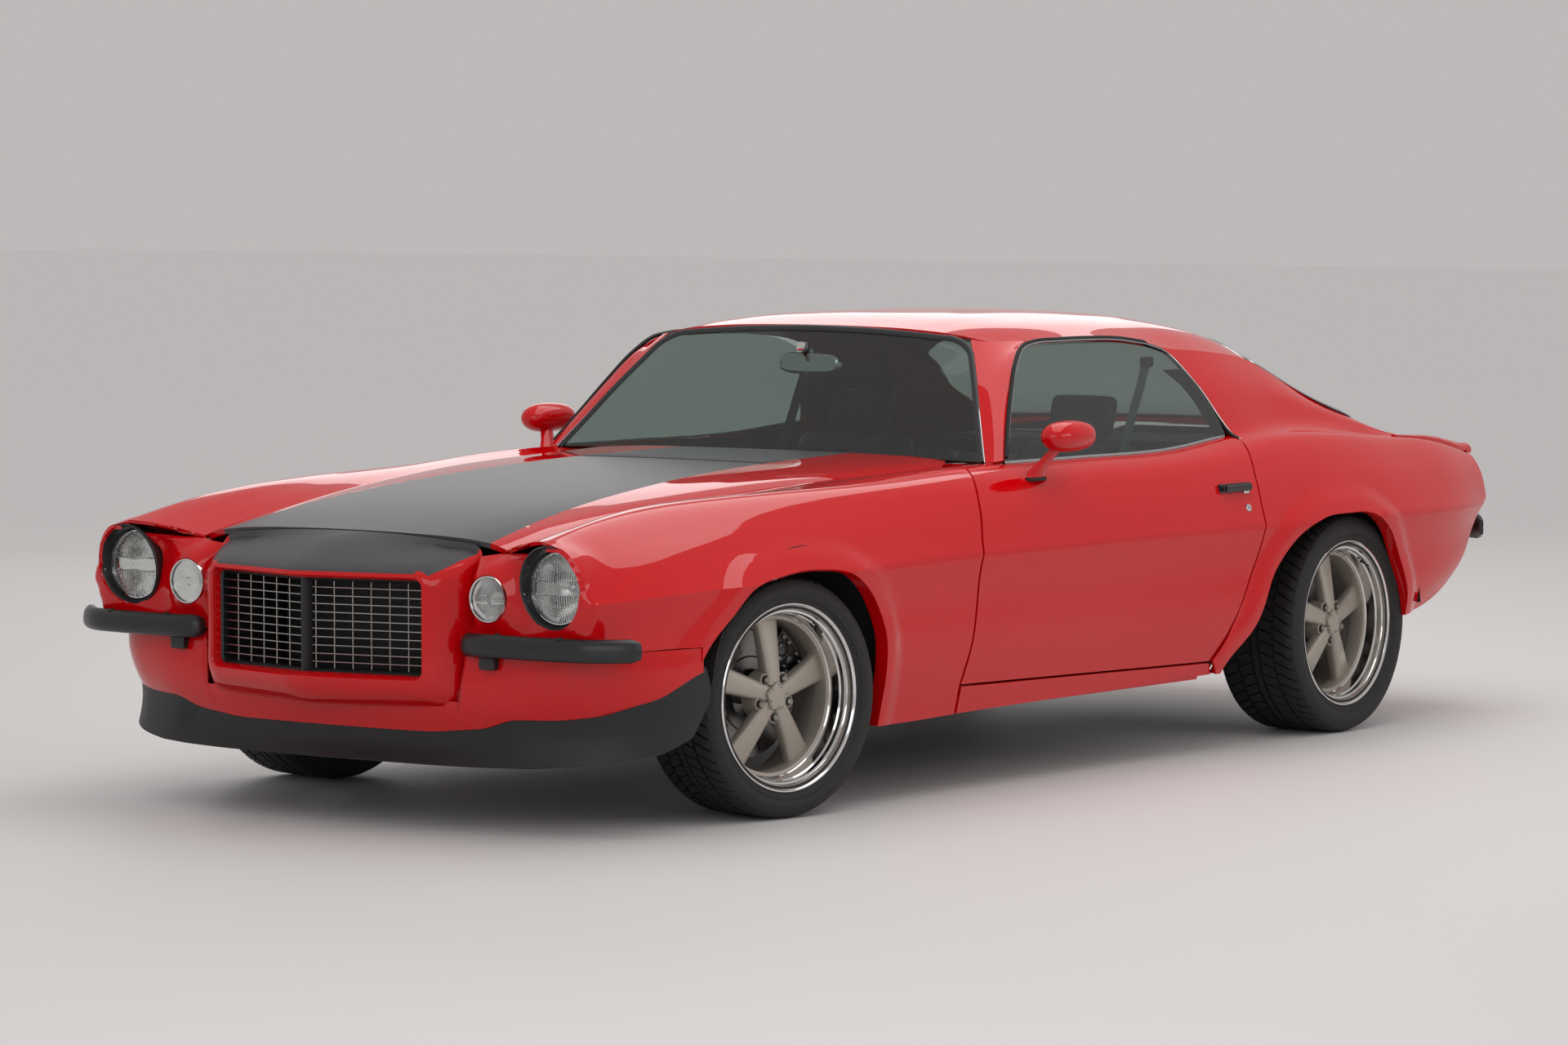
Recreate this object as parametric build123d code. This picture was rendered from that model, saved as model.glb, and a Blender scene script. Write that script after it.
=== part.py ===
"""Two-door muscle car, full size, in millimetres.

Frame: origin under the middle of the car on the floor, +X to the car's left (the driver's side),
-Y to the front, +Z up.  Every piece is modelled where it sits on the car and written as its own STEP.
"""
from build123d import *
from math import atan2, cos, degrees, radians, sin, sqrt
import os

# ---------------------------------------------------------------- driving dimensions
FRONT_AXLE_Y = -1420.0
REAR_AXLE_Y = 1313.0
FRONT_TYRE_R = 314.0
REAR_TYRE_R = 325.0
FRONT_TYRE_W = 245.0
REAR_TYRE_W = 275.0
FRONT_RIM_W = 220.0
REAR_RIM_W = 250.0
DISC_R = 165.0
AXLE_R = 28.0
FRONT_WHEEL_X = 770.0          # middle of the front tyre
REAR_WHEEL_X = 754.0
RIM_FLANGE_R = 246.0           # 18 inch rim
BEAD_R = 229.0
WHEEL_SIDES = 24               # flats round a rim or tyre, the same on both so that they seat
KINGPIN_X = 680.0
STEER_AT_REST = -8.1           # the car stands with its front wheels turned to its right
SHEET = 6.0                    # panels, drawn thicker than the real sheet
WALL = 8.0                     # structural shells
GAP = 5.2                      # shut lines
DOOR_GAP = 7.0
HINGE_GAP = 8.4                # ahead of the door, whose front edge swings forward as it opens
GLASS = 5.0
HALF_GRILLE = 354.0
GRILLE_Z = (394.0, 647.0)
LAMP_X, LAMP_Z, LAMP_R = 716.0, 634.0, 89.0
TURN_X, TURN_Z, TURN_R = 510.0, 600.0, 60.0
TAIL_LAMPS_X = (330.0, 540.0)
TAIL_LAMP_Z, TAIL_LAMP_R = 680.0, 66.0

# ---------------------------------------------------------------- body lines, (y, x, z), left side
HOOD_MID = [(-2160, 0, 749), (-1900, 0, 794), (-1430, 0, 843), (-950, 0, 872), (-400, 0, 885)]
GUTTER = [(-2155, 506, 715), (-2000, 522, 745), (-1846, 533, 766), (-1634, 552, 794), (-1307, 590, 824),
          (-1006, 630, 843), (-677, 660, 853), (-400, 672, 862)]
CROWN = [(-2243, 715, 749), (-2084, 706, 784), (-1880, 715, 811), (-1615, 743, 828), (-1345, 770, 835),
         (-1072, 794, 838), (-645, 828, 842), (0, 843, 845), (500, 842, 850), (840, 826, 872),
         (1000, 816, 884), (1313, 800, 884), (1500, 788, 874), (1722, 768, 856), (2044, 752, 828),
         (2290, 728, 780)]
CREASE = [(-2220, 846, 600), (-2000, 905, 612), (-1700, 935, 622), (-1430, 945, 630), (-1000, 941, 640),
          (0, 936, 645), (900, 940, 645), (1313, 945, 645), (1700, 925, 640), (2000, 880, 635),
          (2290, 792, 630)]
TUCK = [(-2220, 820, 470), (-1900, 900, 440), (-1700, 925, 430), (-1000, 925, 420), (0, 915, 420),
        (1400, 922, 420), (1700, 905, 430), (2000, 858, 480), (2290, 775, 540)]
SILL = [(-2220, 790, 400), (-1900, 870, 300), (-1120, 885, 213), (-600, 885, 217), (500, 885, 228),
        (1400, 885, 250), (1700, 880, 330), (2000, 842, 420), (2290, 765, 520)]
BELT = [(-645, 790, 862), (-33, 800, 866), (320, 803, 864), (620, 800, 869), (800, 790, 886), (860, 780, 900)]
SPINE = [(560, 640, 1165), (700, 640, 1150), (860, 632, 1140), (1000, 620, 1128), (1158, 602, 1110),
         (1457, 650, 984), (1640, 676, 922), (1827, 698, 858), (2044, 700, 838), (2290, 680, 786)]
FOOT = [(560, 780, 880), (860, 772, 908), (1158, 742, 915), (1457, 735, 900), (1640, 738, 882),
        (1827, 736, 856), (2044, 730, 836), (2290, 704, 784)]
DECK_MID = [(1745, 0, 896), (1950, 0, 868), (2150, 0, 826), (2290, 0, 792)]
ROOF_MID = [(-150, 0, 1229), (0, 0, 1249), (311, 0, 1262), (700, 0, 1259), (1000, 0, 1237), (1180, 0, 1204)]
RAIL = [(-150, 560, 1188), (0, 632, 1184), (311, 642, 1186), (700, 640, 1150), (1000, 622, 1130),
        (1180, 598, 1106)]


# ---------------------------------------------------------------- small helpers
def at(line, y):
    """(x, z) of a body line at station y, straight between its knots and held past its ends."""
    if y <= line[0][0]:
        return line[0][1:]
    for (y0, x0, z0), (y1, x1, z1) in zip(line, line[1:]):
        if y <= y1:
            t = (y - y0) / (y1 - y0)
            return (x0 + t * (x1 - x0), z0 + t * (z1 - z0))
    return line[-1][1:]


def between(p, q, t, out=(0, 0)):
    return (p[0] + t * (q[0] - p[0]) + out[0], p[1] + t * (q[1] - p[1]) + out[1])


def inside(points, wall):
    """The open line of points moved `wall` to the right of its direction, mitred at its corners."""
    normals = []
    for (x0, z0), (x1, z1) in zip(points, points[1:]):
        run = sqrt((x1 - x0) ** 2 + (z1 - z0) ** 2)
        normals.append(((z1 - z0) / run, -(x1 - x0) / run))
    moved = []
    for i, (x, z) in enumerate(points):
        a = normals[max(i - 1, 0)]
        b = normals[min(i, len(normals) - 1)]
        nx, nz = a[0] + b[0], a[1] + b[1]
        scale = 2 * wall / (nx * nx + nz * nz)
        moved.append((x + nx * scale, z + nz * scale))
    return moved


def ring_y(y, points):
    return [Vector(x, y, z) for x, z in points]


def flat_face(points):
    return Face(Wire.make_polygon(points))


def quad_faces(a, b, c, d):
    """One flat face when the four corners lie in a plane, else two triangles along the shorter diagonal."""
    normal = (b - a).cross(d - a)
    if abs((c - a).dot(normal)) < 1e-3 * normal.length:
        return [flat_face([a, b, c, d])]
    if (c - a).length < (d - b).length:
        return [flat_face([a, b, c]), flat_face([a, c, d])]
    return [flat_face([a, b, d]), flat_face([b, c, d])]


def faceted(rings):
    """A solid with flat faces through flat rings that have the same number of points."""
    faces = [flat_face(rings[0]), flat_face(rings[-1])]
    for low, high in zip(rings, rings[1:]):
        for i in range(len(low)):
            faces += quad_faces(low[i - 1], low[i], high[i], high[i - 1])
    return Solid(Shell(faces))


def skin(stations, profile, wall=SHEET):
    """A sheet panel through the open profiles (x, z) at the stations, `wall` thick on its inner side."""
    rings = []
    for y in stations:
        outer = profile(y)
        rings.append(ring_y(y, outer + inside(outer, wall)[::-1]))
    return faceted(rings)


def block_y(stations, profile):
    """A solid through the closed profiles (x, z) at the stations."""
    return faceted([ring_y(y, profile(y)) for y in stations])


def block_z(levels):
    """A solid through closed plan outlines: [(z, [(x, y), ...]), ...]."""
    return faceted([[Vector(x, y, z) for x, y in points] for z, points in levels])


def side_prism(points, x0, x1, slant=0.0):
    """A prism of a side-view outline (y, z) from x0 to x1; slant moves it along Y per unit of X."""
    face = Face(Wire.make_polygon([Vector(x0, y, z) for y, z in points]))
    return Solid.extrude(face, Vector(x1 - x0, (x1 - x0) * slant, 0))


def front_prism(points, y0, y1):
    face = Face(Wire.make_polygon([Vector(x, y0, z) for x, z in points]))
    return Solid.extrude(face, Vector(0, y1 - y0, 0))


def plan_prism(points, z0, z1):
    face = Face(Wire.make_polygon([Vector(x, y, z0) for x, y in points]))
    return Solid.extrude(face, Vector(0, 0, z1 - z0))


def box(x0, x1, y0, y1, z0, z1):
    return Pos((x0 + x1) / 2, (y0 + y1) / 2, (z0 + z1) / 2) * Box(x1 - x0, y1 - y0, z1 - z0)


def rod(a, b, r):
    """A round bar from a to b."""
    a, b = Vector(*a), Vector(*b)
    run = b - a
    return Solid.make_cylinder(r, run.length, Plane(origin=a, z_dir=run))


def drum(place, sections, sides=20):
    """A many-sided form about the z axis of `place` through its (distance, radius) sections."""
    turns = [radians(360 * k / sides) for k in range(sides)]
    return faceted([[place.from_local_coords((r * cos(a), r * sin(a), run)) for a in turns]
                    for run, r in sections])


def bar(a, b, r, sides=8):
    """A many-sided straight bar from a to b."""
    a, b = Vector(*a), Vector(*b)
    return drum(Plane(origin=a, z_dir=b - a), [(0, r), ((b - a).length, r)], sides)


def drum_y(x, z, sections, sides=20):
    return drum(Plane(origin=(x, 0, z), x_dir=(1, 0, 0), z_dir=(0, 1, 0)), sections, sides)


def flip(shape):
    return shape.mirror(Plane.YZ)


def pair(shape):
    return [shape, flip(shape)]


WHEEL_AXIS = Plane(origin=(0, 0, 0), x_dir=(0, 0, 1), z_dir=(1, 0, 0))
NODES = {}


def keep(name, *shapes):
    """Joins the shapes that touch and files the node; what stays apart is separate solids of it."""
    whole = shapes[0]
    for shape in shapes[1:]:
        whole = whole + shape
    solids = whole.solids()
    NODES[name] = solids[0] if len(solids) == 1 else Compound(children=list(solids))
    return NODES[name]


def keep_pair(name, shape):
    keep(name + "_left", shape)
    keep(name + "_right", flip(shape))


# ---------------------------------------------------------------- side outlines, (y, z)
FRONT_ARCH = [(-1850, 466), (-1763, 547), (-1690, 611), (-1555, 640), (-1414, 647), (-1272, 625),
              (-1166, 552), (-1115, 472), (-1097, 375), (-1080, 100), (-2000, 100), (-1960, 400)]
REAR_ARCH = [(590, 100), (596, 240), (715, 351), (811, 511), (937, 611), (1072, 654), (1209, 661),
             (1349, 650), (1444, 600), (1530, 500), (1600, 420), (1644, 340), (1650, 100)]
DOOR_FRONT = [(-520, 905), (-528, 870), (-564, 838), (-625, 727), (-662, 617), (-668, 508), (-687, 401),
              (-714, 295), (-716, 262)]
DOOR_REAR = [(846, 905), (812, 860), (790, 800), (772, 727), (765, 646), (748, 590), (690, 482),
             (625, 377), (583, 315), (540, 272)]
QUARTER_TAIL = [(1600, 250), (1730, 346), (1890, 389), (2061, 484), (2150, 567), (2215, 620), (2290, 650)]


def shifted(points, dy, dz=0.0):
    return [(y + dy, z + dz) for y, z in points]


# ---------------------------------------------------------------- section profiles
def side_profile(y, top):
    """Outer body side from the points in `top` down over crown, crease and tuck to the sill."""
    crown, crease, tuck, sill = at(CROWN, y), at(CREASE, y), at(TUCK, y), at(SILL, y)
    return top + [crown, between(crown, crease, 0.45, (12, 10)), crease,
                  between(crease, tuck, 0.5, (-6, 0)), tuck, sill]


def fender_profile(y):
    gx, gz = at(GUTTER, y)
    return side_profile(y, [(gx + GAP, gz - 30), (gx + GAP, gz)])


def hood_profile(y):
    mid, edge = at(HOOD_MID, y), at(GUTTER, y)
    bulge = [(0, mid[1]), (0.45 * edge[0], mid[1] - 4), (0.8 * edge[0], mid[1] - 0.3 * (mid[1] - edge[1]))]
    return [(-x, z) for x, z in ([edge] + bulge[:0:-1])] + bulge + [edge]


def quarter_profile(y):
    spine, foot = at(SPINE, y), at(FOOT, y)
    return side_profile(y, [spine, between(spine, foot, 0.55, (8, 0)), foot])


def roof_profile(y):
    mid, rail = at(ROOF_MID, y), at(RAIL, y)
    half = [(0, mid[1]), (0.5 * rail[0], mid[1] - 0.14 * (mid[1] - rail[1])),
            (0.82 * rail[0], mid[1] - 0.5 * (mid[1] - rail[1])), rail]
    return [(-x, z) for x, z in half[:0:-1]] + half


def door_profile(y):
    belt, crown, crease = at(BELT, y), at(CROWN, y), at(CREASE, y)
    tuck = at(TUCK, y)
    return [(770, belt[1] - 4), (belt[0], belt[1]), crown, between(crown, crease, 0.45, (12, 10)), crease,
            between(crease, tuck, 0.5, (-6, 0)), tuck, (888, 272), (812, 272), (800, 560)]


# ---------------------------------------------------------------- floor, rockers, wheel tubs
def make_floor():
    """Cabin floor, kick-up over the axle and boot floor as one folded pan, with its tunnel."""
    pan = [(-560, 300), (-420, 236), (700, 236), (960, 440), (1120, 472), (1550, 472), (1700, 440),
           (2262, 440)]
    lower = [(y, z - WALL) for y, z in pan]
    floor = side_prism(pan + lower[::-1], -786, 786)
    for side in (-1, 1):
        floor -= box(*sorted((side * 552, side * 900)), 930, 1700, 200, 700)
        floor -= box(*sorted((side * 745, side * 900)), -600, -370, 200, 400)
    boot_side = [(y, z) for y, z in ((1700, 200), (2300, 200), (2300, 600), (1700, 600))]
    floor -= side_prism(boot_side, 690, 900)
    floor -= side_prism(boot_side, -900, -690)
    outer = [(-150, 236), (-110, 400), (110, 400), (150, 236)]
    tunnel_out = block_y((-560, 780), lambda y: [(x, z if z > 300 else 238) for x, z in outer])
    tunnel_in = block_y((-600, 800), lambda y: [(-142, 200), (-103, 392), (103, 392), (142, 200)])
    return (floor + tunnel_out) - tunnel_in


def make_rocker():
    profile = [(800, 218), (878, 218), (888, 262), (800, 262)]
    return block_y((-1045, 490), lambda y: profile)


def make_wheel_tub():
    """Inner half of a rear wheel house: an arched shell with its inner wall, open to the wheel."""
    arch = [(REAR_AXLE_Y + 372 * cos(radians(a)), 330 + 372 * sin(radians(a))) for a in range(0, 181, 20)]
    inner = [(REAR_AXLE_Y + 364 * cos(radians(a)), 330 + 364 * sin(radians(a))) for a in range(0, 181, 20)]
    outer_drum = side_prism([(1685, 250)] + arch + [(941, 250)], 556, 885)
    hollow = side_prism([(1677, 240)] + inner + [(949, 240)], 564, 900)
    return outer_drum - hollow - box(540, 600, 1180, 1446, 200, 440)


# ---------------------------------------------------------------- structure ahead of the cabin
def make_engine_bay():
    """Firewall, both aprons over the wheels, radiator support and the two chassis rails in one shell."""
    firewall = box(-745, 745, -568, -560, 240, 770) - box(-160, 160, -600, -500, 200, 410)
    support = box(-640, 640, -2068, -2060, 300, 690)
    support -= box(-320, 320, -2100, -2030, 340, 640)
    shell = firewall + support
    for side in (-1, 1):
        apron = box(*sorted((side * 478, side * 486)), -2068, -560, 300, 770)
        rail = box(*sorted((side * 400, side * 478)), -2068, -560, 300, 380)
        rail -= box(*sorted((side * 408, side * 470)), -2062, -568, 308, 372)
        wheel_roof = box(*sorted((side * 486, side * 660)), -1790, -1070, 722, 730)
        ledge = box(*sorted((side * 486, side * 560)), -2060, -560, 762, 770)
        shell = shell + apron + rail + wheel_roof
        shell = shell + ledge
    cutter = block_y((-2200, -1600, -900, -400),
                     lambda y: [(0, at(HOOD_MID, y)[1] - 30), (at(GUTTER, y)[0] + 40, at(GUTTER, y)[1] - 36),
                                (1000, at(GUTTER, y)[1] - 36), (1000, 1200), (-1000, 1200),
                                (-1000, at(GUTTER, y)[1] - 36),
                                (-at(GUTTER, y)[0] - 40, at(GUTTER, y)[1] - 36)])
    return shell - cutter


def make_radiator():
    return box(-318, 318, -2050, -1990, 342, 638)


def make_cowl():
    """The hidden plenum between the firewall and the windscreen foot."""
    plan = [(-752, -400), (-752, -340), (752, -340), (752, -400), (690, -470), (660, -568), (-660, -568),
            (-690, -470)]
    plenum = plan_prism(plan, 770, 815)
    lip = plan_prism([(-720, -362), (-720, -345), (720, -345), (720, -362)], 815, 862)
    return plenum + lip


def make_subframe():
    """Front cross member with its lower arms, springs and upper arms."""
    y0 = FRONT_AXLE_Y
    beam = box(-470, 470, y0 - 60, y0 + 60, 200, 262)
    for side in (-1, 1):
        ball = side * KINGPIN_X
        foot = box(*sorted((side * 405, side * 470)), y0 - 60, y0 + 60, 262, 300)
        lower = plan_prism([(side * 440, y0 - 58), (side * 440, y0 + 58), (ball, y0 + 12), (ball, y0 - 12)],
                           200, 214)
        upper = plan_prism([(side * 440, y0 - 60), (side * 440, y0 + 60), (ball, y0 + 12), (ball, y0 - 12)],
                           448, 460)
        bosses = bar((ball, y0, 200), (ball, y0, 214), 15) + bar((ball, y0, 448), (ball, y0, 460), 15)
        pins = rod((ball, y0, 190), (ball, y0, 470), 8.1)
        spring = bar((side * 445, y0, 300), (side * 445, y0, 448), 30)
        beam = beam + foot + ((lower + upper + bosses) - pins) + spring
    return beam


def gearbox_profile(y):
    half, top = (140, 390) if y < -1000 else (66, 375)
    return [(-half, 295), (half, 295), (half, 340), (0.7 * half, top), (-0.7 * half, top), (-half, 340)]


def make_engine():
    """V8 with its air cleaner and gearbox as one block."""
    y0, y1 = -1780, -1130
    block = block_y((y0, y1), lambda y: [(-110, 270), (110, 270), (150, 420), (235, 560), (180, 620),
                                         (70, 640), (-70, 640), (-180, 620), (-235, 560), (-150, 420)])
    cleaner = bar((0, -1500, 640), (0, -1500, 745), 150, 16)
    gearbox = block_y((-1130, -900, -420), gearbox_profile)
    pulley = bar((0, -1780, 360), (0, -1830, 360), 85, 12)
    mounts = box(-400, 400, -1300, -1250, 300, 330)
    return block + cleaner + gearbox + pulley + mounts


def make_driveline():
    """Live rear axle, its leaf springs and the propeller shaft."""
    centre = Plane(origin=(0, REAR_AXLE_Y, REAR_TYRE_R), x_dir=(0, 0, 1), z_dir=(1, 0, 0))
    axle = drum(centre, [(-600, 38), (600, 38)], 8) + drum(centre, [(-60, 104), (60, 104)], 12)
    shaft = bar((0, -414, 335), (0, REAR_AXLE_Y - 60, REAR_TYRE_R), 36)
    for side in (-1, 1):
        spring = side_prism([(745, 266), (1313, 262), (1950, 330), (1950, 348), (1313, 287), (768, 284)],
                            side * 470, side * 530)
        hanger = box(*sorted((side * 470, side * 530)), 1925, 1955, 340, 432)
        stub = rod((side * 600, REAR_AXLE_Y, REAR_TYRE_R), (side * 775, REAR_AXLE_Y, REAR_TYRE_R), AXLE_R)
        axle = axle + spring + hanger + stub
    return axle + shaft


def make_tank():
    tank = box(-360, 360, 1600, 2070, 270, 432)
    return chamfer(tank.edges(), 22)


def make_exhaust():
    """Twin pipes with their mufflers and hangers, tips under the tail."""
    sides = []
    for side in (-1, 1):
        x = side * 250
        run = [(side * 200, -1090, 250), (x, -700, 192), (x, 500, 192), (x, 760, 200),
               (side * 400, 1050, 235), (side * 410, 1500, 235), (side * 430, 2140, 310)]
        pipe = box(x - 105, x + 105, -60, 420, 146, 218) + box(x - 12, x + 12, 40, 70, 218, 228)
        pieces = [bar(a, b, 30, 6) for a, b in zip(run, run[1:])]
        for piece in (pieces[1], pieces[0], *pieces[2:]):
            pipe = pipe + piece
        tip_hanger = box(side * 430 - 10, side * 430 + 10, 2040, 2070, 310, 432)
        sides.append(pipe + tip_hanger)
    return sides


# ---------------------------------------------------------------- outer panels
def make_fender():
    panel = skin((-2150, -2000, -1846, -1634, -1307, -1006, -677, -400), fender_profile)
    behind = shifted(DOOR_FRONT + [(-380, 250), (-380, 1000)], -HINGE_GAP, 1)
    panel -= side_prism(behind, 762, 1000)
    panel -= side_prism([(-590, 820), (-590, 200), (-380, 200), (-380, 820)], 600, 762)
    panel -= side_prism(FRONT_ARCH, 500, 1000)
    panel -= side_prism([(-2300, 474), (-1868, 474), (-1868, 300), (-2300, 300)], 500, 1000)
    return panel


def make_hood():
    panel = skin((-2155, -2000, -1846, -1634, -1307, -1006, -677, -400), hood_profile, 14)
    ahead = plan_prism([(-700, -2300), (700, -2300), (700, -2080), (500, -2140), (0, -2148), (-500, -2140),
                        (-700, -2080)], 600, 900)
    corner = plan_prism([(610, -392), (700, -480), (700, -380), (-700, -380), (-700, -480), (-610, -392),
                         (0, -400)], 700, 1000)
    panel = panel - ahead - corner
    frame = block_y((-1980, -520), lambda y: [(x, at(HOOD_MID, y)[1] - drop) for x, drop in
                                              ((-430, 15.5), (430, 15.5), (400, 42), (-400, 42))])
    window = box(-330, -40, -1850, -650, 700, 1000) + box(40, 330, -1850, -650, 700, 1000)
    frame = (frame - window) - panel
    return panel + frame


def make_roof():
    roof = skin((-150, 0, 311, 700, 1000, 1180), roof_profile, 22)
    pillar = Solid.make_loft([
        Wire.make_polygon([Vector(*p) for p in ((758, -392, 868), (800, -352, 868), (752, -322, 868),
                                                (722, -366, 868))]),
        Wire.make_polygon([Vector(*p) for p in ((566, -150, 1181), (636, -76, 1160), (596, -40, 1150),
                                                (536, -104, 1170))])], True)
    return [roof, pillar, flip(pillar)]


def make_door():
    door = block_y((-770, -445, -33, 320, 620, 800, 860), door_profile)
    front_cut = [(-900, 1000)] + DOOR_FRONT + [(-764, 200), (-900, 200)]
    rear_cut = shifted([(1000, 1000)] + DOOR_REAR + [(540, 200), (1000, 200)], -DOOR_GAP)
    door -= side_prism(front_cut, 700, 1000)
    door -= side_prism(rear_cut, 1000, 700, 0.16)
    handle = box(890, 936, 560, 725, 748, 764)
    door += handle
    return door


def glass_profile(y):
    outer = [(651, 1176), (722, 1030), (778, 882), (790, 780)]
    return outer + inside(outer, GLASS)[::-1]


def make_door_glass():
    pane = block_y((-420, 900), glass_profile)
    rim = [(-396, 882), (-352, 882), (-104, 1150), (-40, 1166), (150, 1174), (360, 1168), (562, 1148),
           (668, 1128), (736, 1045), (787, 950), (806, 908), (804, 884), (765, 780), (-330, 780),
           (-330, 882)]
    return pane & side_prism(rim, 500, 1000)


def make_mirror():
    """Bullet mirror on its foot, whose sole slopes with the door's shoulder."""
    shell = drum_y(925, 944, [(-306, 20), (-288, 34), (-250, 43), (-168, 43)], 12)
    sole = [(848, -262, 832), (882, -262, 780), (882, -215, 780), (848, -215, 832)]
    neck = [(884, -256, 930), (916, -256, 930), (916, -209, 930), (884, -209, 930)]
    return shell + faceted([[Vector(*point) for point in ring] for ring in (sole, neck)])


def make_quarter():
    panel = skin((520, 860, 1000, 1158, 1313, 1457, 1722, 2044, 2290), quarter_profile)
    door_side = [(300, 1400), (662, 1400), (678, 1136), (749, 1050), (802, 954), (840, 892)]
    ahead = door_side + DOOR_REAR[1:] + [(540, 200), (300, 200)]
    panel -= side_prism(ahead, 500, 1000)
    panel -= side_prism(REAR_ARCH, 500, 1000)
    panel -= side_prism(QUARTER_TAIL + [(2400, 650), (2400, 100), (1590, 100)], 500, 1000)
    return panel


def glass_sheet(points, drop):
    """Bent glass of flat facets: points run from the middle of the foot round to the middle of the top."""
    pane = None
    for side in (1, -1):
        corners = [Vector(side * x, y, z) for x, y, z in points]
        for facet in ((0, 1, 4), (0, 4, 5), (1, 2, 3), (1, 3, 4)):
            piece = Solid.extrude(Face(Wire.make_polygon([corners[i] for i in facet])), drop)
            pane = piece if pane is None else pane + piece
    return pane


def make_windscreen():
    return glass_sheet([(0, -385, 878), (400, -382, 874), (720, -368, 868), (522, -140, 1186),
                        (300, -150, 1204), (0, -156, 1211)], Vector(0, 1.4 * GLASS, 0))


def make_backlight():
    return glass_sheet([(0, 1745, 898), (350, 1735, 902), (636, 1700, 894), (556, 1190, 1108),
                        (320, 1186, 1168), (0, 1184, 1186)], Vector(0, 0, -1.2 * GLASS))


def deck_profile(y):
    mid = at(DECK_MID, y)[1]
    edge = (at(SPINE, y)[0] - 8 - GAP, at(SPINE, y)[1] + 2)
    half = [(0, mid), (0.55 * edge[0], mid - 0.2 * (mid - edge[1])), edge]
    return [(-x, z) for x, z in half[:0:-1]] + half


def make_decklid():
    lid = skin((1790, 1950, 2150, 2285), deck_profile, 16)
    lip = box(-560, 560, 2268, 2285, 756, 790)
    return (lip - lid) + lid


def make_rear_shelf():
    """The panel between backlight and boot lid, and the parcel shelf under the glass."""
    filler = block_y((1752, 1785), lambda y: [(-672, 868), (-350, 893), (350, 893), (672, 868), (672, 838),
                                              (-672, 838)])
    shelf = box(-548, 548, 1240, 1752, 838, 846)
    back = box(-548, 548, 1240, 1248, 472, 838)
    return filler + shelf + back


def make_tail_panel():
    plate = front_prism([(-560, 440), (560, 440), (684, 560), (700, 610), (738, 655), (722, 745), (0, 748),
                         (-722, 745), (-738, 655), (-700, 610), (-684, 560)], 2262, 2290)
    for side in (-1, 1):
        for x in TAIL_LAMPS_X:
            plate -= drum_y(side * x, TAIL_LAMP_Z, [(2200, TAIL_LAMP_R), (2350, TAIL_LAMP_R)])
    return plate


def make_tail_lamps():
    lamps = []
    for side in (-1, 1):
        for x in TAIL_LAMPS_X:
            lamps.append(drum_y(side * x, TAIL_LAMP_Z, [(2262, TAIL_LAMP_R), (2298, TAIL_LAMP_R)]))
    return lamps


def make_rear_bumper():
    plan = [(-700, 2330), (-560, 2387), (560, 2387), (700, 2330), (806, 2235), (780, 2225), (690, 2300),
            (552, 2345), (-552, 2345), (-690, 2300), (-780, 2225), (-806, 2235)]
    blade = plan_prism(plan, 520, 595)
    brackets = [box(*sorted((side * 380, side * 420)), 2290, 2345, 535, 560) for side in (-1, 1)]
    return blade + brackets[0] + brackets[1]


def make_rear_valance():
    """Pan under the rear bumper, swept down and forward to the fuel tank."""
    pan = side_prism([(2080, 352), (2262, 400), (2290, 440), (2290, 432), (2262, 392), (2080, 344)],
                     -560, 560)
    apron = front_prism([(-560, 400), (560, 400), (676, 480), (684, 560), (560, 440), (-560, 440),
                         (-684, 560), (-676, 480)], 2290, 2298)
    return pan + apron


def make_spoiler():
    """Three-piece lip over the tail: the middle on the boot lid, the ends on the quarters."""
    heights = {2170: (790, 832), 2290: (770, 812), 2345: (788, 808)}
    middle = block_y((2170, 2290, 2345), lambda y: [(-666, heights[y][0]), (666, heights[y][0]),
                                                    (666, heights[y][1]), (-666, heights[y][1])])
    end = faceted([ring_y(1830, [(706, 846), (732, 844), (732, 860), (706, 861)]),
                    ring_y(2170, [(691, 800), (748, 790), (746, 826), (691, 834)]),
                    ring_y(2345, [(691, 786), (738, 772), (730, 800), (691, 808)])])
    return middle, end


# ---------------------------------------------------------------- front end
def make_header():
    """Lamp panel from the bonnet's front seam down to the bumpers, with its four lamp holes."""
    back = [(506, 708), (506, 713), (620, 737), (712, 778), (780, 720), (862, 606), (838, 478), (440, 478),
            (440, 700)]
    front = [(500, 690), (506, 698), (620, 728), (716, 752), (772, 706), (836, 600), (818, 482), (440, 482),
             (440, 690)]
    half = faceted([ring_y(-2150, back), ring_y(-2222, front)])
    half -= block_y((-2148, -2196), lambda y: [(470, 500), (815, 500), (832, 600), (766, 700), (706, 742),
                                               (630, 712), (470, 670)])
    half -= drum_y(LAMP_X, LAMP_Z, [(-2400, LAMP_R + 16), (-2100, LAMP_R + 16)])
    half -= drum_y(TURN_X, TURN_Z, [(-2400, TURN_R + 4), (-2100, TURN_R + 4)])
    bridge = block_y((-2156, -2240), lambda y: [(-440, 690), (440, 690), (440, 706),
                                                (0, 745 + (2156 + y) * 0.55), (-440, 706)])
    return half, bridge


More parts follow.
